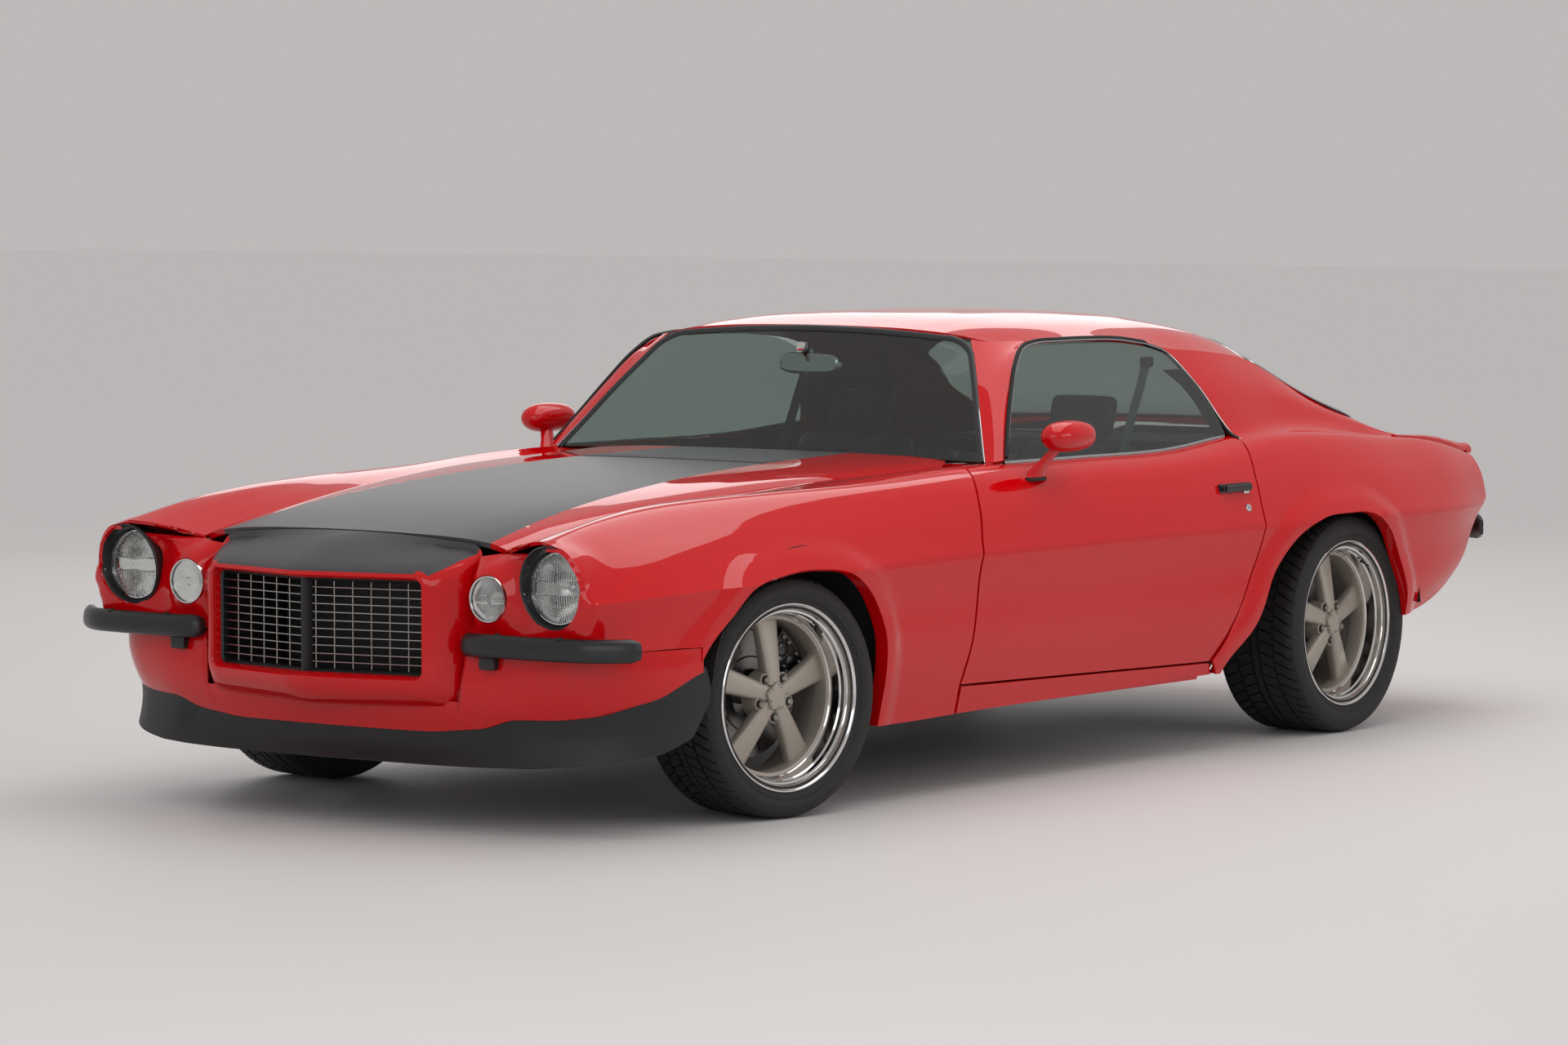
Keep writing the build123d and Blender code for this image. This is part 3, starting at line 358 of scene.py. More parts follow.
def filled(loops, gap=LATTICE):
    """Triangles on the (u, v) plane inside closed loops, with a lattice of points between them."""
    loops = [np.asarray(loop, float) for loop in loops]
    low, high = loops[0].min(0), loops[0].max(0)
    u = np.arange(math.ceil(low[0] / gap), high[0] / gap) * gap
    v = np.arange(math.ceil(low[1] / gap), high[1] / gap) * gap
    lattice = np.array(np.meshgrid(u, v)).reshape(2, -1).T
    lattice = lattice[within(lattice, loops)]
    for loop in loops:
        for a, b in zip(loop, np.roll(loop, -1, 0)):
            run = b - a
            t = np.clip(((lattice - a) @ run) / max(run @ run, 1e-9), 0, 1)
            lattice = lattice[np.linalg.norm(lattice - a - t[:, None] * run, axis=1) > 0.42 * gap]
    points, edges = [], []
    for loop in loops:
        base = len(points)
        points += [Vector(p) for p in loop]
        edges += [(base + i, base + (i + 1) % len(loop)) for i in range(len(loop))]
    points += [Vector(p) for p in lattice]
    flat, _, faces, *_ = delaunay_2d_cdt(points, edges, [], 0, 1e-4)
    flat = np.array([tuple(p) for p in flat])
    faces = np.array(faces)
    faces = faces[within(flat[faces].mean(1), loops)]
    return flat, faces


def panel(surface, *loops, gap=LATTICE):
    """The part of a surface inside (y, s) loops."""
    flat, faces = filled(loops, gap)
    return Shape(surface.on(flat), faces)


def welded(shape, reach=0.05):
    """The shape with points closer than `reach` made one."""
    keys = np.round(shape.points / reach).astype(np.int64)
    _, first, index = np.unique(keys, axis=0, return_index=True, return_inverse=True)
    index = index.reshape(-1)
    faces, finish = [], []
    for face, paint in zip(shape.faces, shape.finish):
        kept = [int(index[i]) for i in face]
        kept = [a for a, b in zip(kept, kept[1:] + kept[:1]) if a != b]
        if len(kept) > 2:
            faces.append(kept)
            finish.append(paint)
    return Shape(shape.points[first], faces, finish)


# ---------------------------------------------------------------- finishes
def linear(code):
    """An sRGB hex colour as the linear values that a shader takes."""
    parts = [int(code[i:i + 2], 16) / 255 for i in (0, 2, 4)]
    return tuple(c / 12.92 if c <= 0.04045 else ((c + 0.055) / 1.055) ** 2.4 for c in parts) + (1.0,)


def add(tree, kind, inputs, **settings):
    """Adds one node; an input is a constant, or (node, output) to be linked."""
    node = tree.nodes.new("ShaderNode" + kind)
    for key, value in settings.items():
        setattr(node, key, value)
    for key, value in inputs.items():
        if isinstance(value, tuple) and isinstance(value[0], bpy.types.Node):
            tree.links.new(value[0].outputs[value[1]], node.inputs[key])
        else:
            node.inputs[key].default_value = value
    return node


def finish(name, tones, rough, pattern, size, depth, stretch=(1, 1, 1), **constants):
    """A finish: two hex tones and two roughnesses spread by a pattern of one real size in millimetres.

    `depth` is how far, in millimetres, the pattern stands out of the surface.
    """
    material = bpy.data.materials.new(name)
    material.use_nodes = True
    tree = material.node_tree
    tree.nodes.clear()
    place = add(tree, "TexCoord", {})
    per_metre = 1.0 / (size * MM)
    scaled = add(tree, "Mapping", {"Vector": (place, "Object"),
                                   "Scale": tuple(per_metre * k for k in stretch)})
    low, high = 0.3, 0.7   # the part of the pattern's range that the tones and roughnesses spread over
    if pattern == "weave":
        warp, weft = [add(tree, "TexWave", {"Vector": (scaled, "Vector"), "Scale": 0.32, "Distortion": 0.4},
                          bands_direction=way) for way in "XZ"]
        spread = (add(tree, "Math", {0: (warp, "Fac"), 1: (weft, "Fac")}, operation="MULTIPLY"), "Value")
    elif pattern == "cells":
        spread = (add(tree, "TexVoronoi", {"Vector": (scaled, "Vector"), "Scale": 1.0},
                      feature="DISTANCE_TO_EDGE"), "Distance")
    else:
        spread = (add(tree, "TexNoise", {"Vector": (scaled, "Vector"), "Scale": 1.0, "Detail": 3.0}), "Fac")
    ramp = add(tree, "ValToRGB", {"Fac": spread})
    for stop, position, tone in zip(ramp.color_ramp.elements, (low, high), tones):
        stop.position, stop.color = position, linear(tone)
    worn = add(tree, "MapRange", {"Value": spread, "From Min": low, "From Max": high,
                                  "To Min": rough[0], "To Max": rough[1]})
    bump = add(tree, "Bump", {"Height": spread, "Strength": 1.0, "Distance": depth * MM})
    shader = add(tree, "BsdfPrincipled", {"Base Color": (ramp, "Color"), "Roughness": (worn, "Result"),
                                          "Normal": (bump, "Normal")})
    for key, value in constants.items():
        shader.inputs[key.replace("_", " ")].default_value = value
    add(tree, "OutputMaterial", {"Surface": (shader, "BSDF")})
    return material


# Two-stage urethane enamel, wet-sanded: deep red under a hard, mirror-like clear coat with faint orange peel.
PAINT = finish("urethane_enamel_red", ("C00209", "B40208"), (0.34, 0.4), "cloud", 9.0, 0.006,
               Coat_Weight=1.0, Coat_Roughness=0.03, Specular_IOR_Level=0.0)
# Satin urethane in charcoal, with a fine metallic fleck: soft sheen and no clear gloss.
STRIPE = finish("satin_urethane_charcoal", ("4A484B", "434144"), (0.36, 0.42), "cloud", 2.0, 0.004,
                Metallic=0.25)
# Powder-coated steel, baked: satin black with a very slight pebble.
POWDER = finish("powder_coated_steel_black", ("17171A", "121214"), (0.34, 0.42), "cloud", 1.6, 0.01,
                Coat_Weight=0.15, Coat_Roughness=0.3)
# ABS, moulded against a grained tool and unpainted: flat black that greys where light grazes it.
PLASTIC = finish("moulded_abs_black", ("131315", "0D0D0F"), (0.5, 0.62), "cells", 1.2, 0.03)
# Zinc-plated steel wire, drawn: pale and bright along its length.
WIRE = finish("bright_plated_wire", ("B9B7B2", "A5A39E"), (0.24, 0.34), "cloud", 3.0, 0.01, Metallic=1.0)
# Chromium plate on brass and steel: a clean mirror.
CHROME = finish("chromium_plate", ("DADBDC", "D2D3D5"), (0.05, 0.1), "cloud", 12.0, 0.002, Metallic=1.0)
# Aluminium strip, extruded and bright anodised: a softer mirror, drawn out along the strip.
MOULDING = finish("bright_anodised_strip", ("C6C7C9", "B8B9BB"), (0.16, 0.24), "cloud", 4.0, 0.002,
                  stretch=(1, 0.1, 1), Metallic=1.0)
# Sand-cast aluminium, bead blasted under a matt clear coat: warm grey, with a grain that breaks highlights.
CAST = finish("bead_blasted_cast_aluminium", ("A79E94", "988F86"), (0.46, 0.56), "cells", 1.4, 0.03,
              Metallic=0.55)
# Spun aluminium, machine polished: a near mirror that shows the rim's steps.
POLISHED = finish("polished_spun_aluminium", ("E0E0DF", "D4D4D3"), (0.06, 0.13), "cloud", 30.0, 0.003,
                  Metallic=1.0)
# Grey iron, ground: mid grey with a broad, soft highlight.
IRON = finish("ground_iron_disc", ("8C8B89", "7A7977"), (0.28, 0.4), "cloud", 2.0, 0.01, Metallic=1.0)
# Forged steel, plated: the dull silver of bolts and lugs.
STEEL = finish("plated_steel", ("9C9A96", "88867F"), (0.3, 0.42), "cloud", 3.0, 0.02, Metallic=1.0)
# Black enamel, sprayed: dark and wet-looking.
GLOSS_BLACK = finish("gloss_black_enamel", ("101012", "0C0C0E"), (0.22, 0.3), "cloud", 6.0, 0.004,
                     Coat_Weight=0.6, Coat_Roughness=0.06)
# Filled tread rubber, moulded and run in: dark warm grey and dull.
RUBBER = finish("tyre_tread_rubber", ("242121", "191717"), (0.62, 0.78), "cloud", 5.0, 0.05)
# EPDM rubber, extruded: flat black with a skin that just catches light.
SEAL = finish("epdm_seal", ("151516", "0F0F10"), (0.55, 0.68), "cloud", 2.5, 0.02)
# Pressed steel under sprayed bitumen: rough, patchy black.
UNDERSEAL = finish("bitumen_underseal", ("1C1B1B", "121212"), (0.66, 0.8), "cells", 4.0, 0.12)
# Iron and aluminium castings, painted with heat-proof enamel: silver grey over a cast skin.
ENGINE_PAINT = finish("engine_enamel_grey", ("6D6E70", "57585A"), (0.38, 0.5), "cloud", 5.0, 0.06,
                      Metallic=0.4)
# Brass and copper core, soldered and painted: black, with its fins drawn 3 mm apart so that they show.
CORE = finish("radiator_core", ("1A1A1C", "101012"), (0.5, 0.6), "weave", 3.0, 0.3)
# Steel tube, aluminised: a cloudy, slightly stained silver.
EXHAUST = finish("aluminised_tube", ("8F8D89", "716F6B"), (0.34, 0.5), "cloud", 8.0, 0.03, Metallic=1.0)
# Vinyl, calendered with a leather grain: soft black, its grain drawn coarse so that it shows.
VINYL = finish("grained_vinyl_black", ("201F22", "161518"), (0.42, 0.54), "cells", 2.6, 0.12)
# Seat cloth, knitted: matt charcoal whose loops lighten at the edges.
CLOTH = finish("knitted_seat_cloth", ("35343A", "232227"), (0.8, 0.9), "weave", 2.4, 0.25, Sheen_Weight=0.3)
# Carpet, looped pile: the deepest black of the cabin, with a tufted surface.
CARPET = finish("loop_pile_carpet", ("1D1C1E", "101011"), (0.9, 0.98), "cells", 3.0, 0.8, Sheen_Weight=0.25)
# Rubber over a rolled strip, round fixed glass: satin dark grey.
GLAZING_TRIM = finish("satin_glazing_strip", ("2A2A2C", "222224"), (0.36, 0.46), "cloud", 3.0, 0.01)
# Steel sheet, terne coated: dull lead grey in large soft patches.
TERNE = finish("terne_coated_steel", ("6F7173", "5B5D5F"), (0.4, 0.54), "cloud", 14.0, 0.02, Metallic=1.0)
# Polyester webbing, woven: blue grey, with ribs across it.
WEBBING = finish("polyester_webbing", ("6B7885", "525E6A"), (0.6, 0.7), "weave", 1.8, 0.15, Sheen_Weight=0.2)
# Laminated glass, float made: flat and clean, a little green.
GLASS = finish("tinted_float_glass", ("B7C4BF", "B4C1BC"), (0.0, 0.01), "cloud", 400.0, 0.0,
               Transmission_Weight=1.0, IOR=1.5)
# Lamp glass, pressed: clear, with a slightly softened surface.
LENS = finish("pressed_lamp_glass", ("F2F4F3", "ECEEED"), (0.02, 0.05), "cloud", 20.0, 0.0,
              Transmission_Weight=1.0, IOR=1.5)
# Acrylic, moulded: clear deep red over fine prisms.
RED_LENS = finish("red_acrylic_lens", ("A30D10", "8C090C"), (0.06, 0.12), "weave", 7.0, 0.3,
                  Transmission_Weight=0.35, IOR=1.49, Coat_Weight=0.5, Coat_Roughness=0.05)
# Steel bowl, vacuum silvered: a bright mirror with slight waves.
SILVERED = finish("silvered_reflector", ("DEDEDD", "D2D2D0"), (0.08, 0.14), "cloud", 15.0, 0.05, Metallic=1.0)


def piece(name, shape, finishes, body="root", stands_for=(), sharp=38.0, rounds=0):
    """Makes a shape a piece of the car: shaded, finished, riding on its body, in place of its solids."""
    mesh = bpy.data.meshes.new(name)
    mesh.from_pydata((shape.points * MM).tolist(), [], shape.faces)
    mesh.validate()
    finishes = finishes if isinstance(finishes, (list, tuple)) else [finishes]
    for material in finishes:
        mesh.materials.append(material)
    if len(finishes) > 1 and len(mesh.polygons) == len(shape.finish):
        mesh.polygons.foreach_set("material_index", shape.finish)
    work = bmesh.new()
    work.from_mesh(mesh)
    bmesh.ops.recalc_face_normals(work, faces=work.faces)
    work.to_mesh(mesh)
    work.free()
    mesh.shade_smooth()
    mesh.set_sharp_from_angle(angle=math.radians(sharp))
    made = bpy.data.objects.new(name, mesh)
    bpy.context.scene.collection.objects.link(made)
    if rounds:
        made.modifiers.new("rounding", "SUBSURF").levels = rounds
        made.modifiers["rounding"].render_levels = rounds
    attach(made, body)
    for node in [stands_for] if isinstance(stands_for, str) else stands_for:
        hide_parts(node)
    return made


# ---------------------------------------------------------------- body lines, (y, x, z), left side
HOOD_MID = fair([(-2160, 0, 749), (-1900, 0, 794), (-1430, 0, 843), (-950, 0, 872), (-400, 0, 885)], 120)
GUTTER = fair([(-2155, 506, 715), (-2000, 522, 745), (-1846, 533, 766), (-1634, 552, 794), (-1307, 590, 824),
               (-1006, 630, 843), (-677, 660, 853), (-400, 672, 862)], 90)
CROWN = fair([(-2243, 715, 749), (-2084, 706, 784), (-1880, 715, 811), (-1615, 743, 828), (-1345, 770, 835),
              (-1072, 794, 838), (-645, 828, 842), (0, 843, 845), (500, 842, 850), (840, 826, 872),
              (1000, 816, 884), (1313, 800, 884), (1500, 788, 874), (1722, 768, 856), (2044, 752, 828),
              (2290, 728, 780)], 90)
BROW = fair([(-2243, 670, 747), (-1880, 672, 812), (-1345, 728, 836), (-1072, 752, 844), (-645, 786, 862),
             (0, 800, 866), (500, 800, 869), (840, 780, 896), (1000, 776, 902), (1313, 762, 896),
             (1722, 742, 858), (2044, 733, 836), (2290, 706, 785)], 90)
CREASE = fair([(-2220, 846, 600), (-2000, 905, 612), (-1700, 935, 622), (-1430, 945, 630), (-1000, 941, 640),
               (0, 936, 645), (900, 940, 645), (1313, 945, 645), (1700, 925, 640), (2000, 880, 635),
               (2290, 792, 630)], 90)
TUCK = fair([(-2220, 820, 470), (-1900, 900, 440), (-1700, 925, 430), (-1000, 925, 420), (0, 915, 420),
             (1400, 922, 420), (1700, 905, 430), (2000, 858, 480), (2290, 775, 540)], 90)
SILL = fair([(-2220, 790, 400), (-1900, 870, 300), (-1120, 885, 213), (-600, 885, 217), (500, 885, 228),
             (1400, 885, 250), (1700, 880, 330), (2000, 842, 420), (2290, 765, 520)], 60)
SPINE = fair([(-160, 556, 1190), (0, 622, 1190), (311, 640, 1190), (560, 642, 1168), (700, 640, 1150),
              (860, 632, 1140), (1000, 620, 1128), (1158, 602, 1110), (1457, 650, 984), (1640, 676, 922),
              (1827, 698, 858), (2044, 700, 838), (2290, 680, 786)], 40)
FOOT = fair([(560, 780, 880), (860, 766, 912), (1158, 742, 918), (1457, 735, 903), (1640, 734, 880),
             (1827, 728, 856), (2044, 722, 838), (2290, 698, 786)], 70)
ROOF_MID = fair([(-150, 0, 1229), (0, 0, 1249), (311, 0, 1261), (700, 0, 1258), (1000, 0, 1237),
                 (1180, 0, 1206), (1450, 0, 1080), (1745, 0, 896), (1950, 0, 868), (2150, 0, 826),
                 (2290, 0, 792)], 60)
DECK_MID = fair([(1745, 0, 896), (1950, 0, 868), (2150, 0, 826), (2290, 0, 792)], 60)

# side-view lines, (y, z)
FRONT_ARCH = [(-1868, 440), (-1850, 466), (-1763, 547), (-1690, 611), (-1555, 640), (-1414, 647),
              (-1272, 625), (-1166, 552), (-1115, 472), (-1097, 375), (-1090, 213)]
REAR_ARCH = [(583, 228), (600, 250), (715, 351), (811, 511), (937, 611), (1072, 654), (1209, 661),
             (1349, 650), (1444, 600), (1530, 500), (1588, 400), (1606, 330)]
DOOR_FRONT = [(-520, 905), (-528, 870), (-564, 838), (-625, 727), (-662, 617), (-668, 508), (-687, 401),
              (-714, 295), (-716, 213)]
DOOR_REAR = [(838, 888), (812, 850), (790, 800), (772, 727), (765, 646), (748, 590), (690, 482),
             (625, 377), (583, 315), (540, 268)]
QUARTER_TAIL = [(1606, 330), (1730, 346), (1890, 389), (2061, 484), (2150, 567), (2215, 620), (2286, 650)]
WINDOW_REAR = [(566, 1168), (675, 1136), (743, 1051), (796, 955), (838, 888)]
NOSE_LINE = [(-2200, 500), (-2216, 600), (-2232, 690), (-2240, 735)]

# stops along a section, near its real lengths, from the top of the car down
SPINE_S, GUTTER_S, FOOT_S, BROW_S, CROWN_S = -320.0, -208.0, -88.0, -46.0, 0.0
SHOULDER_S, CREASE_S, WAIST_S, TUCK_S, SILL_S = 104.0, 221.0, 330.0, 442.0, 650.0
LOW_STOPS = [CROWN_S, SHOULDER_S, CREASE_S, WAIST_S, TUCK_S, SILL_S]


def mixed(p, q, t, out=(0, 0)):
    """A point part of the way from one to another, moved by `out`."""
    return p + t * (q - p) + np.array(out, float)


def body_side(y):
    """Section points from the crown down over the crease to the sill."""
    crown, crease, tuck, sill = CROWN(y), CREASE(y), TUCK(y), SILL(y)
    shoulder, waist = mixed(crown, crease, 0.45, (13, 11)), mixed(crease, tuck, 0.5, (-5, 0))
    return [crown, shoulder, crease, waist, tuck, sill]


def fender_section(y):
    gutter, brow = GUTTER(y) + (4, 0), BROW(y)
    return np.stack([gutter, mixed(gutter, brow, 0.5, (0, 3)), brow] + body_side(y), 1)


def door_section(y):
    brow = BROW(y)
    return np.stack([brow + (-34, -3), brow] + body_side(y), 1)


def quarter_section(y):
    spine, foot = SPINE(y), FOOT(y)
    return np.stack([spine, mixed(spine, foot, 0.5, (7, 4)), foot, BROW(y)] + body_side(y), 1)


class NoseSurface(Surface):
    """The fender, its nose pushed out round the headlamp so that it wraps the bezel."""

    def at(self, y, s):
        points = super().at(y, s)
        clear, ease, oblong = 107, 5, (1.0, 1.06)   # radius kept clear, softness of the push, wide and high
        away = (points[..., ::2] - (LAMP_X, LAMP_Z + 2)) / oblong
        radius = np.linalg.norm(away, axis=-1, keepdims=True)
        grow = np.clip((-2100 - points[..., 1:2]) / 110, 0, 1)
        push = ease * np.log1p(np.exp(np.minimum((clear - radius) / ease, 30))) * grow ** 2 * (3 - 2 * grow)
        points[..., ::2] += away / np.maximum(radius, 1) * push * oblong
        return points


FENDER = NoseSurface(fender_section, [GUTTER_S, -127.0, BROW_S] + LOW_STOPS, (5,))
DOOR = Surface(door_section, [-82.0, BROW_S] + LOW_STOPS, (4,))
QUARTER = Surface(quarter_section, [SPINE_S, -204.0, FOOT_S, BROW_S] + LOW_STOPS, (6,))


def on_side(surface, line):
    """A side-view line, (y, z), as the surface's own (y, s)."""
    line = np.asarray(line, float)
    return np.column_stack([line[:, 0], surface.level(line[:, 0], line[:, 1], -60, SILL_S)])


def flared(shape, arch, out=13.0, reach=62.0):
    """The panel raised into a lip round its wheel arch."""
    line = np.array(arch, float)
    near = np.full(len(shape.points), 1e9)
    flat = shape.points[:, 1:]
    for a, b in zip(line, line[1:]):
        run = b - a
        t = np.clip(((flat - a) @ run) / (run @ run), 0, 1)
        near = np.minimum(near, np.linalg.norm(flat - a - t[:, None] * run, axis=1))
    rise = 1 - np.clip((near - 26) / reach, 0, 1)
    points = shape.points.copy()
    points[:, 0] += out * rise * rise * (3 - 2 * rise)
    return Shape(points, shape.faces, shape.finish)


def arch_return(surface, arch, out=13.0, depth=38.0):
    """The flange that turns in behind a wheel arch's edge."""
    rim = surface.on(on_side(surface, arch)) + (out - 1.0, 0, 0)
    return skin([rim, rim - (depth, 0, 0)])


# ---------------------------------------------------------------- outer panels
def make_fender():
    top = straight([(-2152, GUTTER_S), (-392, GUTTER_S)])
    rear_top = straight([(-392, GUTTER_S), (-392, BROW_S - 14), (-527, BROW_S - 14)])[1:]
    seam = on_side(FENDER, curved([(y - HINGE_GAP, z) for y, z in DOOR_FRONT[1:]]))
    foot = straight([seam[-1], (-1090, SILL_S)])[1:-1]
    arch = on_side(FENDER, curved(FRONT_ARCH))[::-1]
    low = on_side(FENDER, straight([(-1868, 476), (-2196, 476)]))
    nose = on_side(FENDER, curved(NOSE_LINE))
    brow = straight([(-2240, CROWN_S - 8), (-2152, GUTTER_S)])[1:-1]
    loop = np.vstack([top, rear_top, seam, foot, arch, low, nose, brow])
    return flared(panel(FENDER, loop), curved(FRONT_ARCH)), arch_return(FENDER, curved(FRONT_ARCH))


def door_loop():
    """The door's outline on its own surface: front, foot, rear and belt."""
    front = on_side(DOOR, curved(DOOR_FRONT[1:-1]))
    rear = on_side(DOOR, curved([(y - DOOR_GAP, z) for y, z in DOOR_REAR]))[::-1]
    foot = straight([front[-1], rear[0]])[1:-1]
    top = straight([(rear[-1][0], BELT_TOP_S), (front[0][0], BELT_TOP_S)])
    return np.vstack([front, foot, rear, top])


def make_door():
    return thick(panel(DOOR, door_loop()), 14.0)


def make_quarter():
    """Roof half and quarter as the one welded shell that they are, down to the sill behind the door."""
    window = curved(WINDOW_REAR)
    window_s = QUARTER.level(window[:, 0], window[:, 1], SPINE_S, CROWN_S)
    pillar = np.column_stack([window[:, 0], window_s])
    pillar[0] = (566, SPINE_S)
    seam = on_side(QUARTER, curved(DOOR_REAR))[1:]
    foot = straight([seam[-1], (560, SILL_S), (583, SILL_S)])[1:]
    arch = on_side(QUARTER, curved(REAR_ARCH))
    tail = on_side(QUARTER, curved(QUARTER_TAIL))[1:]
    rear = straight([tail[-1], (2286, SPINE_S)])[1:-1]
    spine = straight([(2286, SPINE_S), (566, SPINE_S)])[:-1]
    loop = np.vstack([pillar, seam, foot, arch, tail, rear, spine])
    return flared(panel(QUARTER, loop), curved(REAR_ARCH)), arch_return(QUARTER, curved(REAR_ARCH))


def crowned(mid, edge, shares):
    """Section points across a crowned panel, each at (part of its half width, part of its fall)."""
    drop = mid[..., 1:] - edge[..., 1:]
    half = [np.concatenate([wide * edge[..., :1], mid[..., 1:] - fall * drop], -1) for wide, fall in shares]
    half.append(edge)
    return np.stack([p * (-1, 1) for p in half[::-1]] + [mid] + half, 1)


def two_sided(stops):
    return [-stop for stop in stops[::-1]] + [0.0] + stops


ROOF_HALF_S, HOOD_HALF_S, DECK_HALF_S = 640.0, 600.0, 600.0
ROOF = Surface(lambda y: crowned(ROOF_MID(y), SPINE(y), [(0.3, 0.035), (0.6, 0.19), (0.83, 0.5)]),
               two_sided([192.0, 384.0, 531.0, ROOF_HALF_S]))
HOOD = Surface(lambda y: crowned(HOOD_MID(y), GUTTER(y),
                                 [(0.4, 0.06), (0.62, 0.16), (0.8, 0.36), (0.93, 0.66)]),
               two_sided([HOOD_HALF_S * part for part in (0.4, 0.62, 0.8, 0.93, 1.0)]))
DECK = Surface(lambda y: crowned(DECK_MID(y), SPINE(y) - (11, 0), [(0.5, 0.14), (0.8, 0.45)]),
               two_sided([300.0, 480.0, DECK_HALF_S]))


def make_roof():
    front = curved([(-152, 0), (-151, 300), (-140, 530), (-118, ROOF_HALF_S)])
    side = straight([(-118, ROOF_HALF_S), (1186, ROOF_HALF_S)])[1:]
    rear = curved([(1186, ROOF_HALF_S), (1190, 400), (1188, 0)])[1:]
    middle = straight([(1188, 0), (-152, 0)])[1:-1]
    return panel(ROOF, np.vstack([front, side, rear, middle]))


STRIPE_EDGE = [(-2160, 455), (-1700, 402), (-1200, 352), (-800, 322), (-380, 296)]


def stripe_half(y):
    return np.interp(y, *np.array(STRIPE_EDGE, float).T)


def hood_s(y, x):
    """The s of a point of the bonnet at half-width x."""
    return HOOD_HALF_S * x / GUTTER(y)[..., 0]


def make_hood():
    """The bonnet, its points drawn onto the stripe's edges so that the two colours meet cleanly."""
    side = straight([(-2140, 600), (-474, 600)])
    rear = curved([(-474, 600), (-380, 540), (-386, 400), (-398, 200), (-400, 0)])[1:]
    front = curved([(-2148, 0), (-2147, 300), (-2140, 600)])
    half = np.vstack([front[:-1], side, rear])
    gap, snap = 14.0, 7.2   # spacing of the points, and how near the stripe's edge they are drawn onto it
    flat, faces = filled([np.vstack([half[:-1], (half * (1, -1))[::-1][:-1]])], gap)
    edge_s = hood_s(flat[:, 0], stripe_half(flat[:, 0]))
    near = np.abs(np.abs(flat[:, 1]) - edge_s) < snap
    flat[near, 1] = np.sign(flat[near, 1]) * edge_s[near]
    middle = flat[faces].mean(1)
    striped = np.abs(middle[:, 1]) < hood_s(middle[:, 0], stripe_half(middle[:, 0]))
    lid = thick(Shape(HOOD.on(flat), faces, striped.astype(int).tolist()), 14.0, (0, 0, 1))
    lid.finish[len(faces):2 * len(faces)] = [0] * len(faces)
    return lid


def make_decklid():
    front = curved([(1794, -600), (1792, 0), (1794, 600)])
    side = straight([(1794, 600), (2284, 600)])[1:]
    rear = straight([(2284, 600), (2284, -600)])[1:]
    other = straight([(2284, -600), (1794, -600)])[1:-1]
    return thick(panel(DECK, np.vstack([front, side, rear, other])), 16.0, (0, 0, 1))


fender, fender_flange = make_fender()
door = make_door()
quarter, quarter_flange = make_quarter()
roof = make_roof()
shell = welded(both(quarter + roof), 0.6)
shell = thick(shell, 9.0, (0, 0, 1)) + both(thick(quarter_flange, 2.0, (0, 0, -1)))
piece("roof_and_quarters", shell, PAINT, stands_for=("roof", "quarter_left", "quarter_right"))
piece("bonnet", make_hood(), [PAINT, STRIPE], body="hood", stands_for="hood")
piece("boot_lid", make_decklid(), PAINT, body="decklid", stands_for="decklid")
for word, side in SIDES:
    piece("door_skin_" + word, door.hand(side), PAINT, body="door_" + word, stands_for="door_" + word)


# ---------------------------------------------------------------- nose, lamps and grille
def thin_plate(points):
    """A smooth y over (x, z) through the given (x, z, y) points."""
    table = np.array(points, float)
    plan = table[:, :2] / 100

    def kernel(a, b):
        square = ((a[:, None] - b[None]) ** 2).sum(-1)
        return 0.5 * square * np.log(np.maximum(square, 1e-12))

    n = len(table)
    system = np.zeros((n + 3, n + 3))
    system[:n, :n] = kernel(plan, plan) + 1e-4 * np.eye(n)
    system[:n, n:] = np.column_stack([np.ones(n), plan])
    system[n:, :n] = system[:n, n:].T
    weight = np.linalg.solve(system, np.concatenate([table[:, 2], np.zeros(3)]))

    def height(x, z):
        at = np.column_stack([x, z]) / 100
        return kernel(at, plan) @ weight[:n] + weight[n] + at @ weight[n + 1:]

    return height


def ellipse(centre, a, b, start, end, gap=8.0):
    """Points of an ellipse in the front view between two angles, in degrees."""
    count = max(3, int(abs(math.radians(end - start)) * a / gap))
    angle = np.radians(np.linspace(start, end, count))
    return np.column_stack([centre[0] + a * np.cos(angle), centre[1] + b * np.sin(angle)])


NOSE_EDGE = FENDER.on(on_side(FENDER, curved(NOSE_LINE)))
BROW_SEAM = FENDER.on(straight([(-2240, CROWN_S - 8), (-2152, GUTTER_S)]))


def nose_surface():
    """The lamp panel's y over (x, z): it meets the fender's edge and bulges a little round the turn lamp."""
    known = [(x, z, y) for x, y, z in [*NOSE_EDGE[::3], *BROW_SEAM[::4]]]
    known += [(x - 7, z, y - 9) for x, y, z in NOSE_EDGE[2:-2:4]]
    known += [(x - 24, z, y - 14) for x, y, z in NOSE_EDGE[2:-6:4]]
    known += [(x, z - 10, y - 8) for x, y, z in BROW_SEAM[4:-2:5]]
    for angle in range(0, 360, 45):
        c, s = around(angle)
        known += [(TURN_X + 66 * c, TURN_Z + 66 * s, -2218), (TURN_X + 74 * c, TURN_Z + 74 * s, -2213)]
    known += [(436, 700, -2166), (432, 640, -2168), (430, 560, -2180), (432, 480, -2200), (600, 478, -2206),
              (614, 560, -2203), (612, 640, -2198), (690, 478, -2206), (770, 478, -2200),
              (664, 520, -2210), (612, 690, -2190)]
    return thin_plate(known)


NOSE = nose_surface()


def nose_panel(*loops):
    flat, faces = filled(loops, 9.0)
    return Shape(np.column_stack([flat[:, 0], NOSE(flat[:, 0], flat[:, 1]), flat[:, 1]]), faces)


